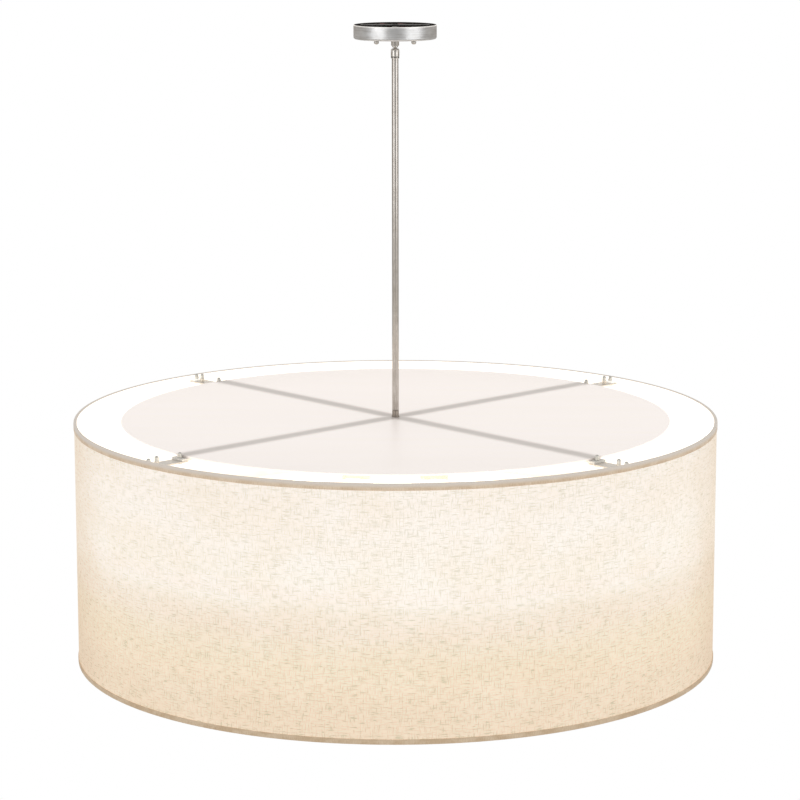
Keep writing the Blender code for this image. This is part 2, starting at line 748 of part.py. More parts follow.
def make_drum():
    height = shade_top - shade_bottom
    fabric = tube(fabric_outer, fabric_outer - fabric_thickness, 0, height, drum_facets)
    add_piece("shade_fabric", fabric, "linen", shade_bottom, turn_axis)
    liner = tube(liner_skin_outer, liner_skin_outer - liner_thickness, 0, height, drum_facets)
    add_piece("shade_liner", liner, "styrene", shade_bottom, turn_axis)
    top = lathe(trim_profile(top_trim_drop, trim_inner_leg), drum_facets)
    add_piece("top_trim", top, "trim_tape", rim_top, turn_axis)
    upturned = [(radius, -height) for radius, height in trim_profile(bottom_trim_rise, trim_inner_leg)]
    add_piece("bottom_trim", lathe(upturned, drum_facets), "trim_tape",
              rim_top - drum_height, turn_axis)
    lower = tube(ring_outer, ring_inner, 0, ring_height, drum_facets)
    add_piece("bottom_ring", lower, "pressed_steel_white", shade_bottom, turn_axis)


def make_top_ring():
    ring = tube(ring_outer, ring_inner, shade_top - ring_height - tab_bottom, shade_top - tab_bottom,
                drum_facets)
    ring = add_piece("top_ring", ring, "pressed_steel_white", tab_bottom, turn_axis)
    inner = rim_stud_place - tab_end_margin
    outer = ring_inner + tab_overlap
    tab = prism(oblong(inner, outer, tab_width), 0, tab_thickness)
    tabs = repeat(tab, [spin_to(turn) for turn in corner_azimuths])
    combine(ring, add_guide("top_ring_tabs", tabs, tab_bottom, turn_axis), "UNION")
    drill = rod_of(edge_stud_diameter / 2 + gap, -overrun, tab_thickness + overrun, stud_facets)
    holes = repeat(drill, ring_places(rim_stud_place, corner_azimuths))
    combine(ring, add_guide("top_ring_tab_holes", holes, tab_bottom, turn_axis), "DIFFERENCE")


# Fixings between the bars and the top ring

def place_round(name, mesh, height, tip=0):
    for number, azimuth in enumerate(corner_azimuths, 1):
        place_mesh(f"{name}_{number}", mesh, height, turn_axis, azimuth, tip)


def domed_cap(foot, top):
    # The part of a cap nut that stands out of its hexagon
    radius = edge_cap_diameter / 2
    crown = [(radius * math.cos(turn), top - radius + radius * math.sin(turn))
             for turn in (math.pi / 2 * step / cap_steps for step in range(cap_steps))]
    return lathe([(0, foot), (radius, foot), *crown, (0, top)], stud_facets)


def make_brackets():
    # Each bracket carries a riveted knob between its two studs, on a base of its own
    width = bracket_width / 2
    nose = arc((bracket_inner_end + width, 0), width, math.pi / 2, 3 * math.pi / 2, 3 * arc_steps)
    tail_centre = bracket_outer_end - bracket_corner
    tail = arc((tail_centre, -width + bracket_corner), bracket_corner, -math.pi / 2, 0, arc_steps)
    tail += arc((tail_centre, width - bracket_corner), bracket_corner, 0, math.pi / 2, arc_steps)
    drill = rod_of(edge_stud_diameter / 2 + gap, -bracket_thickness - overrun, overrun, stud_facets)
    holes = repeat(drill, [shift(x=edge_stud_radius), shift(x=rim_stud_place)])
    base_radius = bracket_knob_base_diameter / 2
    in_strap = -bracket_thickness / 2
    base = rod_of(base_radius, in_strap, bracket_knob_base_height, stud_facets)
    knob = [base, domed_cap(bracket_knob_base_height / 2, bracket_knob_base_height + edge_cap_height)]
    for form in knob:
        form.transform(shift(x=bracket_knob_place))
    strap = shared_mesh("ring_bracket", prism(nose + tail, -bracket_thickness, 0),
                        "satin_steel", joined=knob, cut=[holes])
    place_round("ring_bracket", strap, bracket_top)


def make_edge_fixings():
    # Each stud is made with the nut under the bracket and the cap nut above
    foot = bracket_bottom - gap - edge_nut_height
    for name, seat, reach in (("bar_end_fixing", bar_top + gap, edge_stud_radius),
                              ("rim_fixing", tab_top + gap, rim_stud_place)):
        post = rod_of(edge_stud_diameter / 2, foot - gap, seat + edge_cap_hexagon / 4, stud_facets)
        forms = [post, hexagon(edge_nut_flats, foot, foot + edge_nut_height),
                 hexagon(edge_nut_flats, seat, seat + edge_cap_hexagon),
                 domed_cap(seat + edge_cap_hexagon / 2, seat + edge_cap_height)]
        for form in forms:
            form.transform(shift(x=reach))
        place_round(name, shared_mesh(name, forms[0], "zinc_plate", joined=forms[1:]), 0)


# Lamp cluster

def lamp_azimuth(lamp):
    return first_bar_azimuth + math.tau * (lamp + 0.5) / lamp_count


def outward_places():
    return [spin_to(lamp_azimuth(lamp)) @ Matrix.Rotation(math.pi / 2, 4, "Y")
            for lamp in range(lamp_count)]


def make_cluster_body():
    sides = 2 * lamp_count
    corner = 1 / math.cos(math.pi / sides)
    outer = cluster_apothem * corner
    inner = (cluster_apothem - cluster_wall) * corner
    half = cluster_height / 2
    facing = lamp_azimuth(0) + math.pi / sides
    profile = [(0, half), (outer, half), (outer, -half), (inner, -half),
               (inner, half - cluster_wall), (0, half - cluster_wall)]
    cup = lathe(profile, sides)
    cup.transform(spin_to(facing))
    body = add_piece("cluster_body", cup, "pressed_steel_white", cluster_middle, turn_axis)
    centre = rod_of(stem_radius + gap, half - cluster_wall - overrun, half + overrun, small_facets)
    combine(body, add_guide("cluster_stem_hole", centre, cluster_middle, turn_axis), "DIFFERENCE")
    drill = rod_of(socket_nipple_diameter / 2 + gap, cluster_apothem - cluster_wall - overrun,
                   cluster_apothem + overrun, small_facets)
    holes = repeat(drill, outward_places())
    combine(body, add_guide("cluster_side_holes", holes, cluster_middle, turn_axis), "DIFFERENCE")
    plate = rod_of(outer, -half - gap - cluster_wall, -half - gap, sides)
    plate.transform(spin_to(facing))
    cover = add_piece("cluster_cover", plate, "pressed_steel_white", cluster_middle, turn_axis)
    floor = rod_of(stem_radius + gap, -half - cluster_wall - overrun, -half + overrun, small_facets)
    combine(cover, add_guide("cover_stem_hole", floor, cluster_middle, turn_axis), "DIFFERENCE")


def make_sockets():
    # The locknut inside the cluster body is part of the socket whose nipple carries it
    outer = socket_diameter / 2
    bore = lamp_cap_diameter / 2 + gap
    wire_bore = socket_wire_bore / 2
    nipple = socket_nipple_diameter / 2
    end = socket_back + socket_length
    bed = end - socket_bore_depth
    inner_end = socket_back - socket_nipple_length
    profile = [(wire_bore, inner_end), (nipple, inner_end), (nipple, socket_back),
               (outer - socket_edge, socket_back), (outer, socket_back + socket_edge),
               (outer, end), (bore, end), (bore, bed), (wire_bore, bed)]
    nut_high = cluster_apothem - cluster_wall - gap
    lock = nut(socket_nut_flats, (nipple + wire_bore) / 2, nut_high - socket_nut_height, nut_high)
    socket = shared_mesh("lamp_socket", lathe(profile, small_facets), "ceramic", joined=[lock])
    for lamp in range(lamp_count):
        place_mesh(f"lamp_socket_{lamp + 1}", socket, cluster_middle, turn_axis,
                   lamp_azimuth(lamp), math.pi / 2)


def make_lamps():
    cap = lamp_cap_diameter / 2
    bed = socket_back + socket_length - socket_bore_depth + gap
    cap_top = socket_back + socket_length + gap
    radius = lamp_diameter / 2
    centre = cap_top + lamp_glass_length - radius
    sweep = math.pi / 2 - lamp_shoulder_angle
    turns = [lamp_shoulder_angle + sweep * step / 7 for step in range(7)]
    dome = [(radius * math.cos(turn), centre + radius * math.sin(turn)) for turn in turns]
    profile = [(0, bed), (lamp_cap_contact / 2, bed), (cap, bed + lamp_cap_taper), (cap, cap_top),
               (lamp_neck_diameter / 2, cap_top + lamp_neck_length), *dome, (0, centre + radius)]
    bulb = shared_mesh("lamp", lathe(profile, small_facets), "frosted_glass")
    for lamp in range(lamp_count):
        place_mesh(f"lamp_{lamp + 1}", bulb, cluster_middle, turn_axis, lamp_azimuth(lamp), math.pi / 2)


# Wires and connectors

def make_canopy_wiring():
    outer = connector_diameter / 2
    mouth = connector_mouth_diameter / 2
    profile = [(0, connector_length), (connector_tip_diameter / 2, connector_length),
               (outer, connector_mouth_depth), (outer, 0), (mouth, 0), (mouth, connector_mouth_depth),
               (0, connector_mouth_depth)]
    mouth_left = -connector_length - connector_diameter
    mouth_right = connector_diameter / 2
    level = -connector_drop
    for side, start in (("left", mouth_left), ("right", mouth_right)):
        form = lathe(profile, stud_facets)
        form.transform(shift(start, connector_row) @ Matrix.Rotation(math.pi / 2, 4, "Y"))
        add_piece("wire_connector_" + side, form, "red_connector", level, ceiling)
    way_in = canopy_floor + canopy_wall + nipple_rise
    ball_end = ball_centre - math.sqrt(ball_radius ** 2 - (swivel_bore / 2) ** 2) + gap
    bend = way_in + nipple_rise / 3
    inside = connector_mouth_depth - gap
    reach = canopy_radius - 2 * canopy_corner
    side_way = connector_row / 3
    white = [(wire_offset, 0, ball_end), (wire_offset, 0, (ball_end + way_in) / 2),
             (wire_offset, 0, way_in), (2 * wire_offset, 2 * wire_offset, bend),
             (connector_mouth_depth, side_way, level),
             (-connector_diameter / 2, 2 * side_way, level),
             (0, connector_row, level), (mouth_right + inside, connector_row, level)]
    black = [(-wire_offset, 0, ball_end), (-wire_offset, 0, (ball_end + way_in) / 2),
             (-wire_offset, 0, way_in), (-2 * wire_offset, wire_offset, bend),
             (-side_way, side_way, level), (-2 * side_way, side_way, level),
             (-reach + side_way / 2, 2 * side_way, level),
             (-2 * side_way - side_way / 2, connector_row, level),
             (mouth_left + inside, connector_row, level)]
    add_wire("white_wire_upper", white, wire_diameter, "white_wire", ceiling)
    add_wire("black_wire_upper", black, wire_diameter, "black_wire", ceiling)


def make_lower_lead():
    # The lead runs down the rod and the stem, leaves by the stem's slot and enters a socket's nipple
    top = rod_top + gap
    slot_top = cluster_middle + stem_slot_length / 2
    middle = cluster_apothem / 2
    inside = socket_back - socket_nipple_length + lead_into_socket
    down_shares = (0, 0.25, 0.5, 0.75, 1)
    straight = [(0, 0, top + (slot_top - top) * share) for share in down_shares]
    tail = [(stem_radius, 0, cluster_middle + stem_slot_length / 4), (middle, 0, cluster_middle),
            (inside, 0, cluster_middle)]
    turn = spin_to(slot_azimuth)
    route = [turn @ Vector(point) for point in straight + tail]
    add_wire("lead_lower", route, lead_diameter, "black_wire", turn_axis)


make_canopy()
make_crossbar()
make_canopy_fixings()
make_ground_screw()
make_swivel_stud()
make_swivel_collar()
make_swivel_shells()
make_barrel()
make_rod()
make_stem()
make_upper_diffuser()
make_lower_diffuser()
make_drum()
make_top_ring()
make_brackets()
make_edge_fixings()
make_cluster_body()
make_sockets()
make_lamps()
make_canopy_wiring()
make_lower_lead()
bpy.context.view_layer.update()
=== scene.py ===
import math

import bpy
from mathutils import Matrix, Vector


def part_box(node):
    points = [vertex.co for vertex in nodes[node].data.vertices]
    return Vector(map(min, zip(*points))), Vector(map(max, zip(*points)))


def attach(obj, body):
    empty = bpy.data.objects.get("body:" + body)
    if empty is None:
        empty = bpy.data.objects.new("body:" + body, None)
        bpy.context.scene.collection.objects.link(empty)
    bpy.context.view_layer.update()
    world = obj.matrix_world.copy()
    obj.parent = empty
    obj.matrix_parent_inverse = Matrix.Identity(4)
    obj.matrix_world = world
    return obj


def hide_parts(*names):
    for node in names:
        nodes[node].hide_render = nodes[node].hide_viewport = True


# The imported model, and its box before anything is dressed
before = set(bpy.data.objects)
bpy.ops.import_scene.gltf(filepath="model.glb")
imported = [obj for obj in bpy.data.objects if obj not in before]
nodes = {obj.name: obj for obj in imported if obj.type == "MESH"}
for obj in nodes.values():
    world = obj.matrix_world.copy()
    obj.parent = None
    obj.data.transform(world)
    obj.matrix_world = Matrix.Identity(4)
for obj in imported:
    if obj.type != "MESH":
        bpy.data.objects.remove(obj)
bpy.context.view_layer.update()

mm = 0.001

# Facets of the finer pieces
wide_facets = 720
round_facets = 96
small_facets = 48

# Sizes that the finer pieces share with the solids
canopy_radius = 63.5 * mm
canopy_wall = 1.2 * mm
canopy_corner = 3 * mm
nipple_radius = 4.8 * mm
ball_radius = 3.8 * mm
swivel_bore = 1.8 * mm
barrel_radius = 6.5 * mm
rod_radius = 5.145 * mm
rod_bore = 3.44 * mm
stem_radius = 3.2 * mm
stem_bore = 1.9 * mm
pipe_pitch = 0.94 * mm
drum_radius = 500 * mm
trim_wall = 0.7 * mm
trim_inner = 494.7 * mm
cover_outer = 499 * mm
cover_thickness = 0.6 * mm
lap_width = 12 * mm
lining_outer = 498.1 * mm
lining_thickness = 0.6 * mm
ring_outer = 497.2 * mm
ring_inner = 495.7 * mm
disc_radius = 427 * mm
disc_hole = 3.5 * mm
bar_half_width = 12.7 * mm
bar_azimuth = math.radians(43)
corner_azimuths = [bar_azimuth + quarter * math.pi / 2 for quarter in range(4)]
lamp_azimuths = [azimuth + math.pi / 4 for azimuth in corner_azimuths]
edge_stud_place = 431.5 * mm
bracket_knob_place = 475 * mm
rim_stud_place = 490 * mm
stud_hole = 2.3 * mm
tab_wall = 2 * mm
seat_gap = 0.3 * mm
thread_gap = 0.15 * mm
# Points closer together than this are one place, and cutters are longer than their work by this much
near = 0.01 * mm
overshoot = 2 * mm


def levels(node):
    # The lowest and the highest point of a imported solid
    return [corner[2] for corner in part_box(node)]


rim_top = levels("top_trim")[1]
drum_bottom = levels("bottom_trim")[0]
cover_low, cover_high = levels("shade_fabric")
cover_height = cover_high - cover_low
canopy_floor = levels("canopy")[0]
ball_centre = canopy_floor - 19.5 * mm
disc_top = levels("upper_diffuser")[1]
lower_disc_top = levels("lower_diffuser")[1]


# Camera at the photograph's viewpoint, fitted to the rims of the drum, the disc and the canopy

camera_place = (7 * mm, -4.6255, 0.2952)
looking_down = math.radians(10.74)
leaning = math.radians(-0.05)
camera_data = bpy.data.cameras.new("photo_camera")
camera_data.lens = 135.86
camera_data.sensor_width = 36
camera_data.clip_end = 200
camera = bpy.data.objects.new("photo_camera", camera_data)
bpy.context.collection.objects.link(camera)
aim = Matrix.Rotation(math.pi / 2 - looking_down, 4, "X") @ Matrix.Rotation(leaning, 4, "Z")
camera.matrix_world = Matrix.Translation(camera_place) @ aim
bpy.context.scene.camera = camera


# Small helpers for materials

def linear(code):
    # A hex colour as it looks on screen, turned into the linear values that shaders take
    parts = [int(code[place:place + 2], 16) / 255 for place in (0, 2, 4)]
    return (*(part / 12.92 if part <= 0.04045 else ((part + 0.055) / 1.055) ** 2.4
              for part in parts), 1)


def setting(value):
    # Colours are written as hex codes in this file, all else as it is
    return linear(value) if isinstance(value, str) else value


def add(tree, kind, inputs=None, output=0, **settings):
    # Adds a node, sets or links its inputs and gives back one of its outputs
    node = tree.nodes.new(kind)
    for name, value in settings.items():
        setattr(node, name, value)
    for socket, value in (inputs or {}).items():
        if isinstance(value, bpy.types.NodeSocket):
            tree.links.new(value, node.inputs[socket])
        else:
            node.inputs[socket].default_value = setting(value)
    return node.outputs[output]


def calculate(tree, operation, *values):
    return add(tree, "ShaderNodeMath", dict(enumerate(values)), operation=operation)


def blend_colours(tree, share, first, second, how="MIX"):
    # The mix node keeps its factor in socket 0 and its two colours in sockets 6 and 7
    return add(tree, "ShaderNodeMix", {0: share, 6: first, 7: second}, 2,
               data_type="RGBA", blend_type=how)


def filtered(tree, first, second):
    # One colour seen through another
    return blend_colours(tree, 1.0, first, second, "MULTIPLY")


def grade(tree, value, low, high, to_low=0.0, to_high=1.0, kind="SMOOTHSTEP"):
    return add(tree, "ShaderNodeMapRange",
               {"Value": value, "From Min": low, "From Max": high, "To Min": to_low, "To Max": to_high},
               interpolation_type=kind)


def mottled(tree, noise, first, second):
    # Two colours in patches: a noise stays near its middle, so it is spread out first
    return blend_colours(tree, grade(tree, noise, 0.3, 0.7), first, second)


def reading(tree, place, axis):
    return add(tree, "ShaderNodeSeparateXYZ", {"Vector": place}, axis)


def stretched_noise(tree, place, stretch, detail=2.0, roughness=0.55, shift=(0, 0, 0), size="3D"):
    moved = add(tree, "ShaderNodeMapping", {"Vector": place, "Scale": stretch, "Location": shift})
    return add(tree, "ShaderNodeTexNoise",
               {"Vector": moved, "Scale": 1.0, "Detail": detail, "Roughness": roughness},
               noise_dimensions=size)


def new_material(name, settings):
    material = bpy.data.materials.new(name)
    material.use_nodes = True
    shader = material.node_tree.nodes["Principled BSDF"]
    for socket, value in settings.items():
        shader.inputs[socket].default_value = setting(value)
    return material, material.node_tree, shader


def feed(tree, shader, socket, value):
    tree.links.new(value, shader.inputs[socket])


def add_bump(tree, shader, height, depth, strength=1.0):
    normal = add(tree, "ShaderNodeBump", {"Strength": strength, "Distance": depth, "Height": height})
    feed(tree, shader, "Normal", normal)


def object_place(tree):
    return add(tree, "ShaderNodeTexCoord", output="Object")


def cloth_place(tree):
    return add(tree, "ShaderNodeUVMap", uv_map="cloth")


def finish(tree, shader, tone, light, dark, grain, roughness, depth, kind="LINEAR"):
    # What every hard finish has: a mottled colour, small differences in gloss and a fine relief
    least, most = roughness
    feed(tree, shader, "Base Color", mottled(tree, tone, dark, light))
    feed(tree, shader, "Roughness", grade(tree, grain, 0.3, 0.7, least, most, kind))
    add_bump(tree, shader, grain, depth)


# Materials

def brushed_metal(name, light, dark, roughness, stretch, depth=0.006 * mm, lit=0.0):
    # Fine brushing lines: noise drawn out along the way that the belt ran. Near the lamps it is given a
    # painted glow of their light
    material, tree, shader = new_material(name, {
        "Metallic": 1.0, "Emission Color": light, "Emission Strength": lit})
    place = object_place(tree)
    lines = stretched_noise(tree, place, stretch, 3.0, 0.65)
    clouds = stretched_noise(tree, place, (90, 90, 90), 2.0)
    tone = calculate(tree, "MULTIPLY_ADD", clouds, 0.35, calculate(tree, "MULTIPLY", lines, 0.65))
    finish(tree, shader, tone, light, dark, lines, (roughness - 0.05, roughness + 0.06), depth)
    return material


def plain_metal(name, light, dark, roughness, lit=0.0):
    # Plated or turned steel with a faint mottle and small differences in gloss. Where lit is given, it has
    # a painted glow in its lighter colour
    material, tree, shader = new_material(name, {
        "Metallic": 1.0, "Emission Color": light, "Emission Strength": lit})
    mottle = stretched_noise(tree, object_place(tree), (420, 420, 420), 4.0)
    finish(tree, shader, mottle, light, dark, mottle, (roughness - 0.05, roughness + 0.08), 0.004 * mm)
    return material


def powder_coat(name, light, dark, roughness=0.5, lit=0.0):
    # Sprayed and baked coat with its fine orange peel, with a painted glow of the lamps where they are near
    material, tree, shader = new_material(name, {
        "Coat Weight": 0.15, "Coat Roughness": 0.3, "Emission Color": light, "Emission Strength": lit})
    place = object_place(tree)
    peel = stretched_noise(tree, place, (900, 900, 900), 2.0)
    clouds = stretched_noise(tree, place, (30, 30, 30), 2.0)
    finish(tree, shader, clouds, light, dark, peel, (roughness - 0.06, roughness + 0.06), 0.02 * mm,
           "SMOOTHSTEP")
    return material


def moulded(name, light, dark, roughness, grain=0.01 * mm):
    # Moulded plastic, or glaze with next to no grain
    material, tree, shader = new_material(name, {"Coat Weight": 0.1, "Coat Roughness": 0.2})
    place = object_place(tree)
    speckle = stretched_noise(tree, place, (1400, 1400, 1400), 3.0)
    clouds = stretched_noise(tree, place, (120, 120, 120), 2.0)
    finish(tree, shader, clouds, light, dark, speckle, (roughness - 0.04, roughness + 0.06), grain)
    return material


def lit_linen():
    # Slub linen over a lit drum: uneven threads both ways, thicker ones darker and more tan.
    # The glow is brighter above the lower diffuser and falls to tan below it
    material, tree, shader = new_material("linen_slub_weave_backlit", {
        "Roughness": 0.9, "Sheen Weight": 0.1, "Sheen Roughness": 0.5,
        "Specular IOR Level": 0.25, "Emission Strength": 1.0})
    place = cloth_place(tree)
    masks = []
    for stretch, shift, share, least in (((62, 520, 1), (0, 0, 0), 1.0, 0.5),
                                         ((520, 70, 1), (7, 3, 0), 0.85, 0.5),
                                         ((34, 400, 1), (4, 8, 0), 0.9, 0.6)):
        thread = stretched_noise(tree, place, stretch, 2.0, 0.6, shift, "2D")
        masks.append(calculate(tree, "MULTIPLY", grade(tree, thread, least, least + 0.24), share))
    slub = calculate(tree, "MAXIMUM", calculate(tree, "MAXIMUM", masks[0], masks[1]), masks[2])
    fine = []
    for stretch, shift in (((110, 760, 1), (2, 9, 0)), ((760, 110, 1), (5, 1, 0))):
        thread = stretched_noise(tree, place, stretch, 1.0, 0.5, shift, "2D")
        fine.append(grade(tree, thread, 0.35, 0.65))
    weave = calculate(tree, "MULTIPLY", *fine)
    clouds = stretched_noise(tree, place, (9, 14, 1), 2.0, 0.5, (3, 3, 0), "2D")
    aside = calculate(tree, "ABSOLUTE", reading(tree, object_place(tree), "X"))
    height = calculate(tree, "DIVIDE", reading(tree, place, "Y"), cover_height)
    glow = add(tree, "ShaderNodeValToRGB", {0: height})
    ramp = glow.node.color_ramp
    stops = ((0.0, "B2A08B"), (0.034, "B59D85"), (0.12, "B59F88"), (0.2, "BAA58E"), (0.28, "BAA891"),
             (0.36, "BCAD9C"), (0.42, "BEAFA5"), (0.48, "BFB5AE"), (0.512, "C1BBB7"),
             (0.528, "C4C0BF"), (0.56, "C6C1C2"), (0.62, "C6C4C5"), (0.8, "C5C2C4"), (0.925, "C2BEBF"),
             (1.0, "C1BFC2"))
    ramp.elements[0].position, ramp.elements[0].color = stops[0][0], linear(stops[0][1])
    ramp.elements[1].position, ramp.elements[1].color = stops[-1][0], linear(stops[-1][1])
    for position, code in stops[1:-1]:
        ramp.elements.new(position).color = linear(code)
    thick = blend_colours(tree, grade(tree, height, 0.4, 0.56), "D8E7DC", "EDECE4")
    tint = blend_colours(tree, slub, (1, 1, 1, 1), thick)
    soft = blend_colours(tree, weave, "F8F5EE", (1, 1, 1, 1))
    lit = filtered(tree, filtered(tree, glow, tint), soft)
    lit = mottled(tree, clouds, lit, filtered(tree, lit, "FBF7F1"))
    # Painted shade: the cover glows a little less and warmer at its two sides, left and right along X
    turned_away = grade(tree, aside, 0.85 * cover_outer, 0.985 * cover_outer)
    lit = blend_colours(tree, turned_away, lit, filtered(tree, lit, "EDE1D3"))
    # Where the cover's two ends overlap at the back, two layers let less light out
    lap = calculate(tree, "LESS_THAN", reading(tree, place, "X"), lap_width)
    lit = blend_colours(tree, calculate(tree, "MULTIPLY", lap, 0.5), lit, "B39774")
    feed(tree, shader, "Emission Color", lit)
    feed(tree, shader, "Base Color", blend_colours(tree, slub, "DBD2C6", "BAB7A6"))
    relief = calculate(tree, "MULTIPLY_ADD", slub, 0.7, weave)
    add_bump(tree, shader, relief, 0.12 * mm, 0.6)
    return material


def edging_tape():
    # Folded cotton tape with a fine cross rib. Its inner leg takes the glow of the lamps, and its outer leg
    # a dimmer painted glow, brighter on the upper edging
    material, tree, shader = new_material("edging_tape_cross_rib_lit", {
        "Roughness": 0.8, "Sheen Weight": 0.2, "Specular IOR Level": 0.25,
        "Emission Strength": 1.0})
    place = cloth_place(tree)
    rib = stretched_noise(tree, place, (1300, 160, 1), 1.0, 0.5, (0, 0, 0), "2D")
    clouds = stretched_noise(tree, place, (40, 90, 1), 2.0, 0.5, (4, 2, 0), "2D")
    spot = object_place(tree)
    level_with_axis = add(tree, "ShaderNodeVectorMath", {0: spot, 1: (1, 1, 0)}, operation="MULTIPLY")
    reach = add(tree, "ShaderNodeVectorMath", {0: level_with_axis}, "Value", operation="LENGTH")
    level = reading(tree, spot, "Z")
    middle, half = (rim_top + drum_bottom) / 2, (rim_top - drum_bottom) / 2
    from_middle = calculate(tree, "ABSOLUTE", calculate(tree, "SUBTRACT", level, middle))
    # Faces further in than the ring between the two legs, and below the fold, are lit fully; the others
    # keep the dimmer painted glow
    legs_part = 497 * mm
    inside = calculate(tree, "MULTIPLY", grade(tree, reach, legs_part + 0.4 * mm, legs_part - 0.4 * mm),
                       grade(tree, from_middle, half - trim_wall, half - 1.6 * mm))
    upper = calculate(tree, "GREATER_THAN", level, middle)
    # Painted highlight: the crest of the upper edging is lighter and greyer in its colour, and glows more
    lit_crest = grade(tree, level, rim_top - 8 * mm, rim_top - 1.4 * mm)
    tape = mottled(tree, rib, "DEC7AA", "EAD6BC")
    tape = mottled(tree, clouds, tape, filtered(tree, tape, "F0EAE2"))
    feed(tree, shader, "Base Color", blend_colours(tree, lit_crest, tape, "D8CFC4"))
    glow = blend_colours(tree, lit_crest, blend_colours(tree, upper, "2E2419", "5E5752"), "6C6865")
    feed(tree, shader, "Emission Color", blend_colours(tree, inside, glow, (1, 1, 1, 1)))
    add_bump(tree, shader, rib, 0.05 * mm, 0.6)
    return material


def lit_lining():
    # White styrene behind the linen, lit by the lamps: strongly above the lower diffuser
    material, tree, shader = new_material("styrene_lining_lit", {
        "Roughness": 0.45, "Base Color": "D9D4CB", "Emission Strength": 1.0})
    spot = object_place(tree)
    level = reading(tree, spot, "Z")
    ripple = stretched_noise(tree, spot, (25, 25, 25), 2.0)
    by_lamps = grade(tree, level, lower_disc_top - 40 * mm, lower_disc_top + 30 * mm)
    wall = blend_colours(tree, by_lamps, "BFB39E", "FFFDF8")
    wall = mottled(tree, ripple, wall, filtered(tree, wall, "F7F3EC"))
    feed(tree, shader, "Emission Color", wall)
    add_bump(tree, shader, ripple, 0.1 * mm, 0.3)
    return material


def sides_of_cross(tree, spot, azimuth):
    # How far a spot lies from each of two crossed lines through the axis
    turned_spot = add(tree, "ShaderNodeMapping", {"Vector": spot, "Rotation": (0, 0, -azimuth)})
    return [calculate(tree, "ABSOLUTE", reading(tree, turned_spot, axis)) for axis in "XY"]


def lit_disc(name, bright, dark, bar_shadow, lamp_light_pools):
    # Frosted acrylic with faint clouded streaks, lit from one side, with the soft shadow of the
    # crossed bars that lie against it and, where asked, the warmer patches in front of the lamps
    material, tree, shader = new_material(name, {
        "Roughness": 0.38, "Coat Weight": 0.2, "Coat Roughness": 0.25, "Emission Strength": 1.0})
    spot = object_place(tree)
    streaks = stretched_noise(tree, spot, (2.5, 26, 8), 3.0, 0.6)
    nearest = calculate(tree, "MINIMUM", *sides_of_cross(tree, spot, bar_azimuth))
    blur = 9 * mm
    # Painted shadow of the bars: dark within their width, fading over the blur
    shadow = grade(tree, nearest, bar_half_width + blur, bar_half_width - blur)
    # Painted light: the glow grows from the front to the back
    along = grade(tree, reading(tree, spot, "Y"), -disc_radius, disc_radius, kind="LINEAR")
    glow = blend_colours(tree, along, dark, bright)
    glow = mottled(tree, streaks, glow, filtered(tree, glow, "FBFAF9"))
    # Painted pools of warmer light in front of the lamps, where given
    if lamp_light_pools:
        lamp_middle = 130 * mm
        ways = sides_of_cross(tree, spot, lamp_azimuths[0])
        out = calculate(tree, "SUBTRACT", calculate(tree, "MAXIMUM", *ways), lamp_middle)
        aside = calculate(tree, "MINIMUM", *ways)
        squares = [calculate(tree, "MULTIPLY", way, way) for way in (out, aside)]
        far = calculate(tree, "SQRT", calculate(tree, "ADD", *squares))
        glow = blend_colours(tree, grade(tree, far, 170 * mm, 20 * mm), glow, lamp_light_pools)
    glow = blend_colours(tree, shadow, glow, bar_shadow)
    feed(tree, shader, "Emission Color", glow)
    feed(tree, shader, "Base Color", mottled(tree, streaks, "C9C2BB", "D2CCC6"))
    add_bump(tree, shader, streaks, 0.05 * mm, 0.2)
    return material


def lit_glass():
    # Frosted lamp glass: an even coat inside, glowing with a faint mottle
    material, tree, shader = new_material("lamp_glass_frosted_lit", {
        "Roughness": 0.35, "Coat Weight": 0.5, "Coat Roughness": 0.12,
        "Base Color": "EDE8DE", "Emission Strength": 1.6})
    frost = stretched_noise(tree, object_place(tree), (800, 800, 800), 3.0)
    feed(tree, shader, "Emission Color", mottled(tree, frost, "FFF0D6", "FFF6E6"))
    add_bump(tree, shader, frost, 0.01 * mm)
    return material


# Nickel plate: the way of the brushing draws out its highlights
around = (70, 70, 3600)
wide_around = (16, 16, 620)
lengthways = (2600, 2600, 40)
nickel = brushed_metal("nickel_plate_brushed_round", "DAD7D3", "BDB8B1", 0.38, around)
# The canopy's brushing is drawn with lines 1.6 mm apart, coarser than the real ones, so that it shows
canopy_nickel = brushed_metal("nickel_plate_brushed_canopy", "E7E8EA", "C6C5C4", 0.36, wide_around)
# Painted highlight: a lighter band that glows a little, along the canopy's top edge
edge_highlight = plain_metal("nickel_plate_edge_painted_highlight", "F6F4F1", "E9E6E2", 0.45, lit=0.25)
rod_nickel = brushed_metal("nickel_plate_brushed_long", "D2CDC8", "B8B1A9", 0.28, lengthways, 0.003 * mm)
dark_nickel = brushed_metal("satin_nickel_dark", "B0A69D", "91877E", 0.40, around)
swivel_nickel = brushed_metal("nickel_plate_brushed_swivel", "DEDBD6", "C1BBB4", 0.25, around, 0.003 * mm)
# Painted shade for the groove at the foot of the barrel
groove_shade_nickel = plain_metal("nickel_plate_groove_painted_shade", "3A342E", "2A2622", 0.7)
# Painted shade: the unplated inside of the canopy, made dark for the shade within it
canopy_inside_shade = plain_metal("canopy_inside_painted_shade", "4A4540", "2B2724", 0.55)

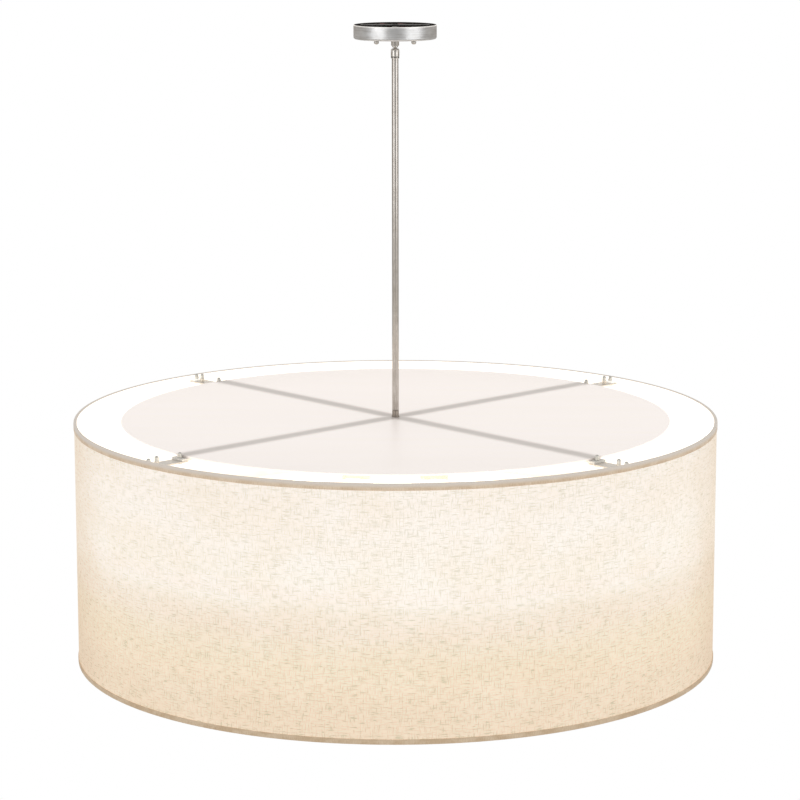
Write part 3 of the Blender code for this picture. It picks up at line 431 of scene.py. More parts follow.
# Steel under other coats, some of it in the glow of the lamps
zinc = plain_metal("zinc_plate_bright", "E6E6E4", "D0D0CE", 0.36)
lit_zinc = plain_metal("zinc_plate_bright_lit", "CFCDC8", "BCBAB3", 0.46, lit=0.16)
satin_steel = brushed_metal("steel_satin_pressed_lit", "CFCAC3", "BBB5AD", 0.40, (900, 900, 900), lit=0.17)
tan_washer = plain_metal("washer_yellow_passivated_lit", "DAD2C6", "C9BFB0", 0.45, lit=0.2)
black_oxide = plain_metal("steel_black_oxide", "3A3734", "242220", 0.50)
green_screw = plain_metal("screw_green_passivated", "2F7A45", "1F5A32", 0.40)
white_coat = powder_coat("powder_coat_white", "EDEBE6", "E2DFD9")
lit_coat = powder_coat("powder_coat_white_lit", "F2F0EC", "E8E6E0", lit=0.6)

# Plastic and glaze, with a soft gloss
nylon = moulded("nylon_natural", "E4DFD2", "D6D0C2", 0.45)
porcelain = moulded("porcelain_glazed", "F1EEE7", "E6E2D9", 0.16, 0.003 * mm)
black_sheath = moulded("wire_sheath_black", "26241F", "161513", 0.42)
white_sheath = moulded("wire_sheath_white", "E3E0D8", "D2CEC5", 0.42)
red_shell = moulded("connector_dark_red", "6E1614", "4D0D0C", 0.45)
cap_aluminium = plain_metal("lamp_cap_aluminium", "D9D8D5", "BDBCB9", 0.28)

# What the lamps light from inside
linen = lit_linen()
tape = edging_tape()
lining = lit_lining()
upper_acrylic = lit_disc("acrylic_frosted_upper", "BAB4B2", "B4AFAE", "585251", None)
lower_acrylic = lit_disc("acrylic_frosted_lower", "C6BCAE", "C0B5A7", "7C756C", "E4D5BD")
glass = lit_glass()


# Small helpers for shapes

def arc(radius, middle, start, end, steps):
    # Points of an arc, from one angle in degrees to another: 0 points outward and 90 up
    turns = [math.radians(start + (end - start) * step / steps) for step in range(steps + 1)]
    return [(middle[0] + radius * math.cos(turn), middle[1] + radius * math.sin(turn)) for turn in turns]


def lifted(outline, level):
    return [(radius, height + level) for radius, height in outline]


def alone(piece):
    bpy.ops.object.select_all(action="DESELECT")
    piece.select_set(True)
    bpy.context.view_layer.objects.active = piece
    return piece


def choose_points(piece, wanted):
    # Selects the points that pass a test of their place, and leaves the piece in edit mode
    alone(piece)
    bpy.ops.object.mode_set(mode="EDIT")
    bpy.ops.mesh.select_mode(type="VERT")
    bpy.ops.mesh.select_all(action="DESELECT")
    bpy.ops.object.mode_set(mode="OBJECT")
    for point in piece.data.vertices:
        point.select = wanted(point.co)
    bpy.ops.object.mode_set(mode="EDIT")


def mend_normals():
    bpy.ops.mesh.select_all(action="SELECT")
    bpy.ops.mesh.remove_doubles(threshold=0.002 * mm)
    bpy.ops.mesh.normals_make_consistent(inside=False)
    bpy.ops.object.mode_set(mode="OBJECT")


def turned(outline, facets, closed=True):
    # As on a lathe: an outline of radii and heights is drawn by extruding one point from place to
    # place, then turned once round the axis
    bpy.ops.object.select_all(action="DESELECT")
    bpy.ops.mesh.primitive_plane_add(size=mm, location=(0, 0, 0))
    piece = bpy.context.object
    bpy.ops.object.mode_set(mode="EDIT")
    bpy.ops.mesh.merge(type="CENTER")
    places = [(0, 0), *outline, outline[0]] if closed else [(0, 0), *outline]
    for order, (before, after) in enumerate(zip(places, places[1:])):
        step = (after[0] - before[0], 0, after[1] - before[1])
        if order == 0:
            bpy.ops.transform.translate(value=step)
        else:
            bpy.ops.mesh.extrude_region_move(TRANSFORM_OT_translate={"value": step})
    bpy.ops.object.mode_set(mode="OBJECT")
    lathe = piece.modifiers.new("lathe", "SCREW")
    lathe.steps = lathe.render_steps = facets
    bpy.ops.object.modifier_apply(modifier="lathe")
    piece.data.uv_layers.remove(piece.data.uv_layers[0])
    bpy.ops.object.mode_set(mode="EDIT")
    mend_normals()
    return piece


def soften(outline, radius, steps=3, closed=True):
    # Rounds the corners of an outline, each by no more than its neighbours leave room for
    count = len(outline)
    result = []
    for place, point in enumerate(outline):
        here = Vector(point)
        if point[0] == 0 or (not closed and place in (0, count - 1)):
            result.append(point)
            continue
        before, after = Vector(outline[place - 1]) - here, Vector(outline[(place + 1) % count]) - here
        if before.angle(after) > math.radians(150):
            result.append(point)
            continue
        cut = min(radius, 0.45 * before.length, 0.45 * after.length)
        start, end = here + before.normalized() * cut, here + after.normalized() * cut
        for step in range(steps + 1):
            share = step / steps
            mixed = start * (1 - share) ** 2 + here * 2 * share * (1 - share) + end * share ** 2
            result.append((max(mixed.x, 0.0), mixed.y))
    return result


def joined(*pieces):
    alone(pieces[0])
    for piece in pieces:
        piece.select_set(True)
    bpy.ops.object.join()
    return pieces[0]


def settled(piece):
    # Leaves the place, turn and scale of a piece in its mesh
    alone(piece)
    bpy.ops.object.transform_apply(location=True, rotation=True, scale=True)
    return piece


def placed(piece, matrix):
    piece.matrix_world = matrix
    return settled(piece)


def copy_of(piece):
    alone(piece)
    bpy.ops.object.duplicate()
    return bpy.context.object


def discard(piece):
    bpy.data.objects.remove(piece)


def machined(piece, tool, operation):
    alone(piece)
    cutter = piece.modifiers.new("cutter", "BOOLEAN")
    cutter.object = tool
    cutter.operation = operation
    bpy.ops.object.modifier_apply(modifier="cutter")
    discard(tool)
    return piece


def hexagon_nut(flats, bore, low, high):
    # A six-sided bar, bored and turned down at both faces, so that arcs cut its corners
    apothem, chamfer = flats / 2, 0.06 * flats
    corner = apothem / math.cos(math.pi / 6)
    widest = corner - 0.04 * apothem
    nut = turned([(bore, low), (apothem * 0.97, low), (widest, low + chamfer), (widest, high - chamfer),
                  (apothem * 0.97, high), (bore, high)], small_facets)
    bpy.ops.mesh.primitive_cylinder_add(vertices=6, radius=corner, depth=high - low + overshoot,
                                        location=(0, 0, (low + high) / 2))
    return machined(nut, bpy.context.object, "INTERSECT")


def threaded(radius, pitch, low, high, bore=0.0, facets=24):
    # A screw thread as one unbroken helix. One turn of it is drawn, repeated and closed at the ends
    turns = max(1, round((high - low) / pitch))
    pitch = (high - low) / turns
    depth, rows = 0.55 * pitch, 6
    thread = turned([(radius, low + pitch * row / rows) for row in range(rows + 1)], facets, closed=False)
    for point in thread.data.vertices:
        angle = math.atan2(point.co.y, point.co.x)
        share = ((point.co.z - low) / pitch - angle / math.tau) % 1
        cut = 1 - depth * abs(2 * share - 1) / radius
        point.co.x *= cut
        point.co.y *= cut
    repeat = thread.modifiers.new("turns", "ARRAY")
    repeat.count = turns
    repeat.use_relative_offset = False
    repeat.use_constant_offset = True
    repeat.constant_offset_displace = (0, 0, pitch)
    repeat.use_merge_vertices = True
    repeat.merge_threshold = near
    alone(thread)
    bpy.ops.object.modifier_apply(modifier="turns")
    if bore:
        bpy.ops.mesh.primitive_cylinder_add(vertices=facets, radius=bore, depth=high - low,
                                            end_fill_type="NOTHING", location=(0, 0, (low + high) / 2))
        thread = joined(thread, settled(bpy.context.object))
    for end in (low, high):
        choose_points(thread, lambda place, end=end: abs(place.z - end) < near)
        if bore:
            bpy.ops.mesh.bridge_edge_loops()
        else:
            bpy.ops.mesh.edge_face_add()
        mend_normals()
    return thread


def drilled(piece, across, radius, low, high):
    bpy.ops.mesh.primitive_cylinder_add(vertices=small_facets, radius=radius, depth=high - low + overshoot,
                                        location=(across, 0, (low + high) / 2))
    return machined(piece, bpy.context.object, "DIFFERENCE")


def turn_from_back(place):
    return (math.atan2(place.y, place.x) - math.pi / 2) % math.tau


def lay_cloth_map(piece, radius, low):
    # A map in metres: round the drum from the back, and up from its lower edge
    layer = piece.data.uv_layers.new(name="cloth")
    points = piece.data.vertices
    for face in piece.data.polygons:
        middle = turn_from_back(face.center)
        for corner in face.loop_indices:
            place = points[piece.data.loops[corner].vertex_index].co
            turn = turn_from_back(place)
            if abs(turn - middle) > math.pi:
                turn += math.copysign(math.tau, middle - turn)
            layer.data[corner].uv = (turn * radius, place.z - low)


def dress(name, piece, material, body, replaced, sharp=35):
    piece.name = name
    piece.data.name = name
    alone(piece)
    bpy.ops.object.shade_smooth_by_angle(angle=math.radians(sharp))
    piece.data.materials.clear()
    piece.data.materials.append(material)
    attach(piece, body)
    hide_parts(replaced)
    return piece


def break_edges(piece, width):
    edge = piece.modifiers.new("broken_edges", "BEVEL")
    edge.width = width
    edge.segments = 2
    edge.limit_method = "ANGLE"
    edge.angle_limit = math.radians(40)
    edge.harden_normals = True


def keep(names, material, bevel=0.0):
    # A imported solid that stays as it is, with its own finish and, where a bevel width is given, its edges
    # broken
    for name in names:
        solid = nodes[name]
        solid.data.materials.clear()
        solid.data.materials.append(material)
        if bevel:
            break_edges(solid, bevel)


# Drum: cover, lining, edging and rings

def make_cover():
    lap_rise = 0.22 * mm
    rows = 24
    inner = cover_outer - cover_thickness
    outline = [(cover_outer, cover_low + cover_height * row / rows) for row in range(rows + 1)]
    cover = turned([*outline, (inner, cover_high), (inner, cover_low)], 2 * wide_facets)

    def in_lap(place):
        # The cover's outer end lies over its inner end for a few millimetres at the back
        outside = math.hypot(place.x, place.y) > inner + cover_thickness / 3
        return outside and turn_from_back(place) * cover_outer < lap_width
    choose_points(cover, in_lap)
    wider = 1 + lap_rise / cover_outer
    bpy.ops.transform.resize(value=(wider, wider, 1), center_override=(0, 0, 0))
    bpy.ops.object.mode_set(mode="OBJECT")
    lay_cloth_map(cover, cover_outer, cover_low)
    dress("linen_cover", cover, linen, "pendant", "shade_fabric")
    return cover, (cover_height, cover_outer * math.tau + lap_width)


def make_edging(name, node, level, way, outer_leg):
    # Tape folded over the drum's edge, its outer leg pressed a little inward at its hem
    inner_leg, hem, pressed = 5.5 * mm, 0.5 * mm, 0.12 * mm
    bend = 0.8 * mm + outer_leg * 0.3
    outer_face, inner_face = drum_radius - trim_wall, trim_inner + trim_wall
    outline = [(drum_radius - pressed, -outer_leg), (drum_radius, hem - outer_leg), (drum_radius, -bend),
               (drum_radius, 0), (trim_inner, 0), (trim_inner, -inner_leg), (inner_face, -inner_leg),
               (inner_face, -trim_wall), (outer_face, -trim_wall), (outer_face, -outer_leg)]
    rounded = [(radius, way * drop) for radius, drop in soften(outline, 2 * mm, 5)]
    edging = turned(lifted(rounded, level), wide_facets)
    lay_cloth_map(edging, drum_radius, drum_bottom)
    return dress(name, edging, tape, "pendant", node)


def make_drum():
    cover, flat = make_cover()
    lining_inner = lining_outer - lining_thickness
    wall = [(lining_outer, cover_low), (lining_outer, cover_high), (lining_inner, cover_high),
            (lining_inner, cover_low)]
    dress("styrene_lining", turned(wall, wide_facets), lining, "pendant", "shade_liner")
    edging = [make_edging("top_edging", "top_trim", rim_top, 1, 10.2 * mm),
              make_edging("bottom_edging", "bottom_trim", drum_bottom, -1, 8 * mm)]
    tall = 12 * mm
    band = soften([(ring_outer, 0), (ring_outer, tall), (ring_inner, tall), (ring_inner, 0)], 0.4 * mm)
    dress("bottom_band", turned(lifted(band, cover_low), wide_facets), lit_coat, "pendant", "bottom_ring")
    tab_low = levels("upper_bar_first")[0]
    tab_high = tab_low + tab_wall
    inner_end, outer_end, tab_width = 484 * mm, 496.1 * mm, 18 * mm
    tab_middle = ((inner_end + outer_end) / 2, 0, (tab_low + tab_high) / 2)
    bpy.ops.mesh.primitive_cube_add(size=1, location=tab_middle,
                                    scale=(outer_end - inner_end, tab_width, tab_wall))
    tab = drilled(settled(bpy.context.object), rim_stud_place, stud_hole, tab_low, tab_high)
    tabs = [placed(copy_of(tab), Matrix.Rotation(azimuth, 4, "Z")) for azimuth in corner_azimuths]
    discard(tab)
    upper = turned(lifted(band, cover_high - tall), wide_facets)
    dress("top_band", joined(upper, *tabs), lit_coat, "pendant", "top_ring")


# Diffuser discs

def make_discs():
    edge = 3 * mm
    outline = soften([(disc_radius, -edge), (disc_radius, 0), (disc_hole, 0), (disc_hole, -edge)], 0.5 * mm)
    for name, node, level, material, body in (
            ("frosted_disc_upper", "upper_diffuser", disc_top, upper_acrylic, "pendant"),
            ("frosted_disc_lower", "lower_diffuser", lower_disc_top, lower_acrylic, "drop_diffuser")):
        dress(name, turned(lifted(outline, level), wide_facets), material, body, node)


# Brackets, studs and cap nuts at the bar ends and at the rim

def crown_of(radius, height):
    # The outline of a cap nut's dome, from its side up to its top
    return [*arc(radius, (0, height - radius), 0, 90, 10)[:-1], (0, height)]


def make_strap(low, high):
    # A flat strap, round at its inner end but for a last short straight, with two holes
    half, tail_corner, straight = 12.2 * mm, 4 * mm, 0.02 * mm
    inner_end, outer_end = 418.5 * mm, 495 * mm
    middle = (inner_end + outer_end) / 2
    bpy.ops.mesh.primitive_plane_add(size=1, location=(middle, 0, low))
    strap = bpy.context.object
    strap.scale = (outer_end - inner_end, 2 * half, 1)
    settled(strap)
    for inside, corner, segments in ((True, half - straight, 24), (False, tail_corner, 8)):
        edge = inner_end if inside else outer_end
        choose_points(strap, lambda place, edge=edge: abs(place.x - edge) < near)
        bpy.ops.mesh.bevel(offset=corner, segments=segments, affect="VERTICES")
        bpy.ops.object.mode_set(mode="OBJECT")
    bpy.ops.object.mode_set(mode="EDIT")
    bpy.ops.mesh.select_all(action="SELECT")
    bpy.ops.mesh.extrude_region_move(TRANSFORM_OT_translate={"value": (0, 0, high - low)})
    mend_normals()
    for place in (edge_stud_place, rim_stud_place):
        drilled(strap, place, stud_hole, low, high)
    return strap


def make_cap_nut_stud(foot, seat):
    # A stud with its nut below and a cap nut on top
    flats, nut_bore, nut_low, nut_height, cap_height = 7 * mm, 1.9 * mm, foot + seat_gap, 3 * mm, 3.2 * mm
    stud_radius, pitch, stud_top = 2 * mm, 0.7 * mm, seat + 2.9 * mm
    dome = turned([(0, nut_height), (3.25 * mm, nut_height), *crown_of(3.2 * mm, 8 * mm)], small_facets,
                  closed=False)
    return joined(threaded(stud_radius, pitch, foot, stud_top),
                  hexagon_nut(flats, nut_bore, nut_low, nut_low + nut_height),
                  hexagon_nut(flats, nut_bore, seat, seat + cap_height),
                  placed(dome, Matrix.Translation((0, 0, seat))))


def make_fixings():
    foot = levels("rim_fixing_1")[0]
    bar_low, bar_high = levels("upper_bar_first")
    bracket_low, bracket_high = levels("ring_bracket_1")[0], bar_low - seat_gap
    strap = make_strap(bracket_low, bracket_high)
    base_radius, base_low, base_high = 3.5 * mm, -1.2 * mm, 4.4 * mm
    side = soften([(base_radius, base_low), (base_radius, base_high), (2 * mm, base_high)], 0.3 * mm,
                  closed=False)
    base = turned([(0, base_low), *side, (0, base_high)], small_facets, closed=False)
    knob_radius, knob_low, knob_high = 3.2 * mm, 3.4 * mm, 12.4 * mm
    knob = turned([(0, knob_low), (knob_radius, knob_low), *crown_of(knob_radius, knob_high)],
                  small_facets, closed=False)
    knob_seat = Matrix.Translation((bracket_knob_place, 0, bracket_high))
    bar_end = make_cap_nut_stud(foot, bar_high + seat_gap)
    rim_end = make_cap_nut_stud(foot, bar_low + tab_wall + seat_gap)
    kinds = [("bracket_strap", "ring_bracket", strap, Matrix(), satin_steel, "satin_steel"),
             ("bracket_knob_base", "ring_bracket", base, knob_seat, tan_washer, "satin_steel"),
             ("bracket_knob", "ring_bracket", knob, knob_seat, lit_zinc, "satin_steel"),
             ("bar_end_stud", "bar_end_fixing", bar_end, Matrix.Translation((edge_stud_place, 0, 0)),
              lit_zinc, "zinc_plated_steel"),
             ("rim_stud", "rim_fixing", rim_end, Matrix.Translation((rim_stud_place, 0, 0)),
              lit_zinc, "zinc_plated_steel")]
    for name, node, model, seat, material, slot in kinds:
        for number, azimuth in enumerate(corner_azimuths, 1):
            piece = placed(copy_of(model), Matrix.Rotation(azimuth, 4, "Z") @ seat)
            dress(f"{name}_{number}", piece, material, "pendant", f"{node}_{number}")
            if model is strap:
                break_edges(piece, 0.35 * mm)
        discard(model)


# Canopy, swivel and rod

def make_canopy():
    outer_bend = canopy_radius - canopy_corner
    rise = canopy_floor + canopy_corner
    outer = arc(canopy_corner, (outer_bend, rise), 0, -90, 10)
    inner = arc(canopy_corner - canopy_wall, (outer_bend, rise), -90, 0, 10)
    hole = nipple_radius + seat_gap
    highlight_band = 1.4 * mm
    inside = canopy_radius - canopy_wall
    lip = soften([(inside, rise), (inside, 0), (canopy_radius, 0), (canopy_radius, -highlight_band),
                  (canopy_radius, rise)], 0.5 * mm, closed=False)
    outline = [*lip, *outer[1:], (hole, canopy_floor), (hole, canopy_floor + canopy_wall), *inner[:-1]]
    shell = dress("canopy_shell", turned(outline, 256), canopy_nickel, "ceiling_side", "canopy")
    shell.data.materials.append(canopy_inside_shade)
    shell.data.materials.append(edge_highlight)
    inner_wall = canopy_radius - 0.6 * canopy_wall
    for face in shell.data.polygons:
        middle = face.center
        reach = math.hypot(middle.x, middle.y)
        inward = face.normal.x * middle.x + face.normal.y * middle.y < 0
        above_floor = middle.z > canopy_floor + 0.6 * canopy_wall
        # Painted shade: the inner wall and the floor's top inside the canopy
        if above_floor and reach < inner_wall and (inward or face.normal.z > 0.5):
            face.material_index = 1
        # Painted highlight: the band along the top edge
        elif middle.z > -highlight_band:
            face.material_index = 2


def make_canopy_nuts():
    # A round nut that hangs a little under the canopy on its narrower neck
    radius, height, skirt, bore, bore_depth = 3.8 * mm, 8.4 * mm, 5.4 * mm, 1.75 * mm, 3.8 * mm
    neck, neck_height = 2.6 * mm, 3.6 * mm
    stud_radius, pitch, nut_low, nut_height = 1.6 * mm, 0.79 * mm, -4.9 * mm, 2.6 * mm
    screw_place = 28.5 * mm
    top = canopy_floor - seat_gap
    crown = [(radius * math.sin(math.pi / 2 * step / 12),
              top - skirt - (height - skirt) * math.cos(math.pi / 2 * step / 12)) for step in range(1, 13)]
    outline = soften([(0, top - height), *crown, (radius, top - neck_height), (neck, top - neck_height),
                      (neck, top), (bore, top), (bore, top - bore_depth), (0, top - bore_depth)],
                     0.3 * mm, closed=False)
    cap = turned(outline, 64, closed=False)
    stud = joined(threaded(stud_radius, pitch, levels("canopy_stud_left")[0], -seat_gap),
                  hexagon_nut(7 * mm, stud_radius - 0.1 * mm, nut_low, nut_low + nut_height))
    for side, across in (("left", -screw_place), ("right", screw_place)):
        seat = Matrix.Translation((across, 0, 0))
        dress("cap_nut_" + side, placed(copy_of(cap), seat), nickel, "ceiling_side",
              "canopy_cap_nut_" + side)
        dress("cap_stud_" + side, placed(copy_of(stud), seat), zinc, "ceiling_side",
              "canopy_stud_" + side)
    discard(cap)
    discard(stud)


def make_swivel():
    low, high = levels("swivel_hex_collar")
    collar = hexagon_nut(11 * mm, nipple_radius + thread_gap, low, high)
    collar = dress("collar_hexagon", placed(collar, Matrix.Rotation(math.pi / 6, 4, "Z")), swivel_nickel,
                   "ceiling_side", "swivel_hex_collar")
    break_edges(collar, 0.8 * mm)
    nipple_top = levels("swivel_ball_stud")[1]
    neck, shoulder, shoulder_low, shoulder_high = 2.5 * mm, 4.5 * mm, 6.5 * mm, 8.8 * mm
    start, end = (math.degrees(math.acos(reach / ball_radius)) for reach in (swivel_bore, neck))
    ball = arc(ball_radius, (0, ball_centre), -start, end, 32)
    throat = soften([(neck, 4 * mm), (neck, shoulder_low), (shoulder, shoulder_low),
                     (shoulder, shoulder_high)], 0.35 * mm, 4, closed=False)
    seat = ball_centre + shoulder_high
    core = nipple_radius - 0.6 * mm
    stud = turned([*ball, *lifted(throat, ball_centre), (core, seat), (core, nipple_top),
                   (swivel_bore, nipple_top)], 64)
    thread = threaded(nipple_radius, pipe_pitch, seat, nipple_top, core - 0.4 * mm)
    dress("ball_stud", joined(stud, thread), nickel, "ceiling_side", "swivel_ball_stud")
    # Painted shade: the ball and its neck below the shoulder take the darker nickel, for the shade in the
    # gap between the barrel's mouth and the shoulder
    stud.data.materials.append(dark_nickel)
    for face in stud.data.polygons:
        if face.center.z < ball_centre + shoulder_low + 0.1 * mm:
            face.material_index = 1
    cup_bore = 5.3 * mm
    # The cup catches the ball's liner from above, and runs straight down from the ball's middle
    cup = arc(cup_bore, (0, ball_centre), 28, 0, 10)
    foot, bend, mouth = ball_centre - 7.9 * mm, ball_centre + 2.6 * mm, ball_centre + 4.6 * mm
    chamfer = 0.5 * mm
    barrel = soften([*cup, (cup_bore, foot), (barrel_radius - chamfer, foot),
                     (barrel_radius, foot + chamfer), (barrel_radius, bend), (5.6 * mm, mouth),
                     (5 * mm, mouth)], 0.35 * mm)
    tube = dress("barrel", turned(barrel, round_facets), swivel_nickel, "pendant", "swivel_barrel")
    ring_low, ring_high = levels("swivel_lock_ring")
    inside = rod_radius + thread_gap
    ring = soften([(inside, ring_low), (barrel_radius, ring_low), (barrel_radius, ring_high),
                   (inside, ring_high)], 0.55 * mm, 5)
    ring = dress("lock_ring", turned(ring, round_facets), swivel_nickel, "pendant", "swivel_lock_ring")
    # Painted shade: the faces at the two edges that meet at the foot of the barrel take a dark material,
    # for the shadow in the groove between them
    for piece in (tube, ring):
        piece.data.materials.append(groove_shade_nickel)
        for face in piece.data.polygons:
            if ring_high - 0.65 * mm < face.center.z < foot + 0.55 * mm:
                face.material_index = 1


def make_rod():
    low, high = levels("rod")
    tube = soften([(rod_radius, low), (rod_radius, high), (rod_bore, high), (rod_bore, low)], 0.3 * mm)
    dress("pipe", turned(tube, round_facets), rod_nickel, "pendant", "rod")
    low, high = levels("rod_coupling")
    bore = stem_radius + thread_gap
    flange, groove = 5.85 * mm, rod_radius - 0.25 * mm
    coupling = soften([(bore, low), (flange, low), (flange, low + 1.6 * mm), (rod_radius, low + 2.5 * mm),
                       (rod_radius, high - 1.2 * mm), (groove, high - 1 * mm), (groove, high - 0.7 * mm),
                       (rod_radius, high - 0.5 * mm), (rod_radius, high), (bore, high)], 0.25 * mm)
    dress("end_coupling", turned(coupling, round_facets), dark_nickel, "pendant", "rod_coupling")


# Lamp cluster and finial

def make_stem():
    low, high = levels("threaded_stem")
    body_high = levels("cluster_body")[1]
    cover_floor = levels("cluster_cover")[0]
    nut_height, wall = 4 * mm, 1.5 * mm
    below = seat_gap + nut_height
    places = (body_high + seat_gap, body_high - wall - below, cover_floor - below)
    nuts = [hexagon_nut(12 * mm, 2.9 * mm, place, place + nut_height) for place in places]
    stem = joined(threaded(stem_radius, pipe_pitch, low, high, stem_bore), *nuts)
    dress("stem_with_nuts", stem, zinc, "pendant", "threaded_stem")


def bulb_outline(foot):
    # Frosted globe lamp: a round end that runs through a soft shoulder into the neck
    radius, neck, length, sunk = 30 * mm, 13 * mm, 84 * mm, 1 * mm
    dome = arc(radius, (0, foot + length - radius), -38, 90, 32)
    dome[-1] = (0, dome[-1][1])
    shoulder = []
    for step in range(9):
        share = step / 8
        easing = share * share * (3 - 2 * share) * (0.55 + 0.45 * share)
        shoulder.append((neck + (dome[0][0] - neck) * easing, foot + (dome[0][1] - foot) * share))
    return [(0, foot - sunk), (neck - 0.4 * mm, foot - sunk), *shoulder, *dome[1:]]


def make_lamps():
    # Each is drawn upright on the axis, from the socket's nipple to the lamp's end, and laid on its side
    middle = sum(levels("cluster_body")) / 2
    back = 38.3 * mm
    end = back + 45 * mm
    bed, nipple_end = end - 24 * mm, back - 8 * mm
    wire_hole, nipple, waist, outside, inside = 2.5 * mm, 5 * mm, 15.8 * mm, 17 * mm, 13.5 * mm
    socket = soften([(wire_hole, nipple_end), (nipple, nipple_end), (nipple, back),
                     (outside - 1.5 * mm, back), (outside, back + 1.5 * mm), (outside, back + 16 * mm),
                     (waist, back + 18 * mm), (waist, end - 5 * mm), (outside, end - 4 * mm),
                     (outside, end), (inside, end), (inside, bed), (wire_hole, bed)], 0.8 * mm)
    cap_radius, pitch, contact, contact_height = 13.2 * mm, 3.6 * mm, 4.5 * mm, 4.2 * mm
    cap_low, cap_high = bed + seat_gap, end + seat_gap
    foot = soften([(0, cap_low), (contact, cap_low), (12 * mm, cap_low + contact_height),
                   (0, cap_low + contact_height)], 0.6 * mm, closed=False)
    nut_low, nut_high = 33.6 * mm, 36.2 * mm
    holder = joined(turned(socket, round_facets), hexagon_nut(14 * mm, 4.5 * mm, nut_low, nut_high))
    cap = joined(threaded(cap_radius, pitch, cap_low + 4 * mm, cap_high, facets=64),
                 turned(foot, round_facets, closed=False))
    bulb = turned(bulb_outline(cap_high), round_facets, closed=False)
    kinds = [("socket", "lamp_socket", holder, porcelain, "porcelain", 35),
             ("lamp_cap", "lamp", cap, cap_aluminium, "frosted_lamp", 35),
             ("lamp_glass", "lamp", bulb, glass, "frosted_lamp", 60)]
    for name, node, model, material, slot, sharp in kinds:
        for number, azimuth in enumerate(lamp_azimuths, 1):
            way = Matrix.Rotation(azimuth, 4, "Z") @ Matrix.Rotation(math.pi / 2, 4, "Y")
            piece = placed(copy_of(model), Matrix.Translation((0, 0, middle)) @ way)
            dress(f"{name}_{number}", piece, material, "pendant", f"{node}_{number}", sharp)
        discard(model)


def make_finial():
    low, top = levels("finial")
    radius, waist, bead, flange, bore_depth = 9 * mm, 6 * mm, 6.6 * mm, 15 * mm, 12 * mm
    bore = stem_radius + thread_gap
    knob = arc(radius, (0, low + radius), -90, 45, 24)[1:]
    outline = [(0, low), *knob, (waist, top - 5.2 * mm), (bead, top - 4 * mm),
               (waist, top - 3.2 * mm), (flange - 1.5 * mm, top - 1.9 * mm), (flange, top - 1.4 * mm),
               (flange, top), (bore, top), (bore, top - bore_depth), (0, top - bore_depth)]
    dress("finial_turned", turned(soften(outline, 0.5 * mm, closed=False), round_facets, closed=False),
          nickel, "drop_diffuser", "finial")


make_drum()
make_discs()
make_fixings()
make_canopy()
make_canopy_nuts()
make_swivel()
make_rod()
make_stem()
make_lamps()
make_finial()

keep(["crossbar"], black_oxide, 0.3 * mm)
keep(["ground_screw"], green_screw, 0.2 * mm)
keep(["nipple_washer", "nipple_locknut", "hub_washer", "hub_locknut"], zinc, 0.2 * mm)
keep(["swivel_liner"], nylon)
keep(["swivel_seat"], dark_nickel)
keep(["upper_bar_first", "upper_bar_second", "lower_bar_first", "lower_bar_second"], white_coat, 0.4 * mm)
keep(["cluster_body", "cluster_cover"], lit_coat, 0.4 * mm)
keep(["white_wire_upper"], white_sheath)
keep(["black_wire_upper", "lead_lower"], black_sheath)
keep(["wire_connector_left", "wire_connector_right"], red_shell, 0.3 * mm)


# Plain studio: white to the camera, soft grey to everything else

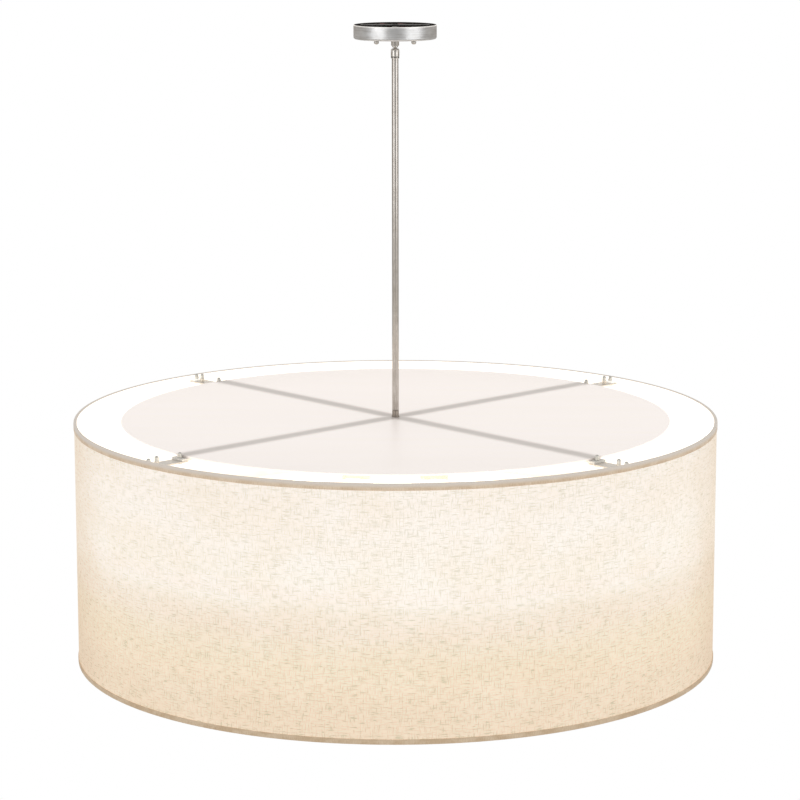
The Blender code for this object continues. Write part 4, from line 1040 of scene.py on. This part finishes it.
def make_world():
    # Neutral grey in front of the light, a browner and darker grey behind it
    world = bpy.data.worlds.new("studio")
    bpy.context.scene.world = world
    world.use_nodes = True
    tree = world.node_tree
    tree.nodes.clear()
    way = add(tree, "ShaderNodeTexCoord", output="Generated")
    behind = reading(tree, way, "Y")
    rise = reading(tree, way, "Z")
    walls = blend_colours(tree, grade(tree, behind, -0.5, 0.5), "A6A7A8", "A39A91")
    backdrop = calculate(tree, "MULTIPLY", grade(tree, behind, -0.1, 0.4), grade(tree, rise, 0.0, 0.12))
    soft = blend_colours(tree, grade(tree, rise, 0.2, 0.9), walls, "C4C2BF")
    soft = blend_colours(tree, calculate(tree, "MULTIPLY", backdrop, grade(tree, rise, 0.9, 0.4)), soft,
                         "F4F2EF")
    room = add(tree, "ShaderNodeBackground", {"Color": soft, "Strength": 1.0})
    white = add(tree, "ShaderNodeBackground", {"Color": (1, 1, 1, 1), "Strength": 1.0})
    seen = add(tree, "ShaderNodeLightPath", output="Is Camera Ray")
    both = add(tree, "ShaderNodeMixShader", {0: seen, 1: room, 2: white})
    tree.links.new(both, tree.nodes.new("ShaderNodeOutputWorld").inputs[0])


def make_floor():
    bpy.ops.mesh.primitive_plane_add(size=60, location=(0, 0, -2.6))
    floor = bpy.context.object
    floor.name = "studio_floor"
    material, tree, shader = new_material("studio_floor_pale", {
        "Base Color": "E8E6E2", "Roughness": 0.8})
    glow = add(tree, "ShaderNodeEmission", {"Color": (1, 1, 1, 1), "Strength": 1.0})
    seen = add(tree, "ShaderNodeLightPath", output="Is Camera Ray")
    both = add(tree, "ShaderNodeMixShader", {0: seen, 1: shader.outputs[0], 2: glow})
    tree.links.new(both, tree.nodes["Material Output"].inputs[0])
    floor.data.materials.append(material)


def make_panel(name, azimuth, width, level):
    # A wide soft light, unseen by the camera, that faces the shade
    distance, height, tall = 4.5, 0.2, 2.2
    light = bpy.data.lights.new(name, "AREA")
    light.shape = "RECTANGLE"
    light.size, light.size_y = width, tall
    light.energy = level * math.pi * width * tall
    panel = bpy.data.objects.new(name, light)
    bpy.context.collection.objects.link(panel)
    place = Vector((math.sin(azimuth) * distance, -math.cos(azimuth) * distance, height))
    target = Vector((0, 0, -0.3))
    facing = (place - target).to_track_quat("Z", "Y").to_matrix().to_4x4()
    panel.matrix_world = Matrix.Translation(place) @ facing
    panel.visible_camera = False


make_world()
make_floor()
make_panel("soft_panel_left", math.radians(-46), 3.3, 1.65)
make_panel("soft_panel_right", math.radians(52), 3.8, 1.55)

bpy.context.scene.view_settings.view_transform = "Standard"
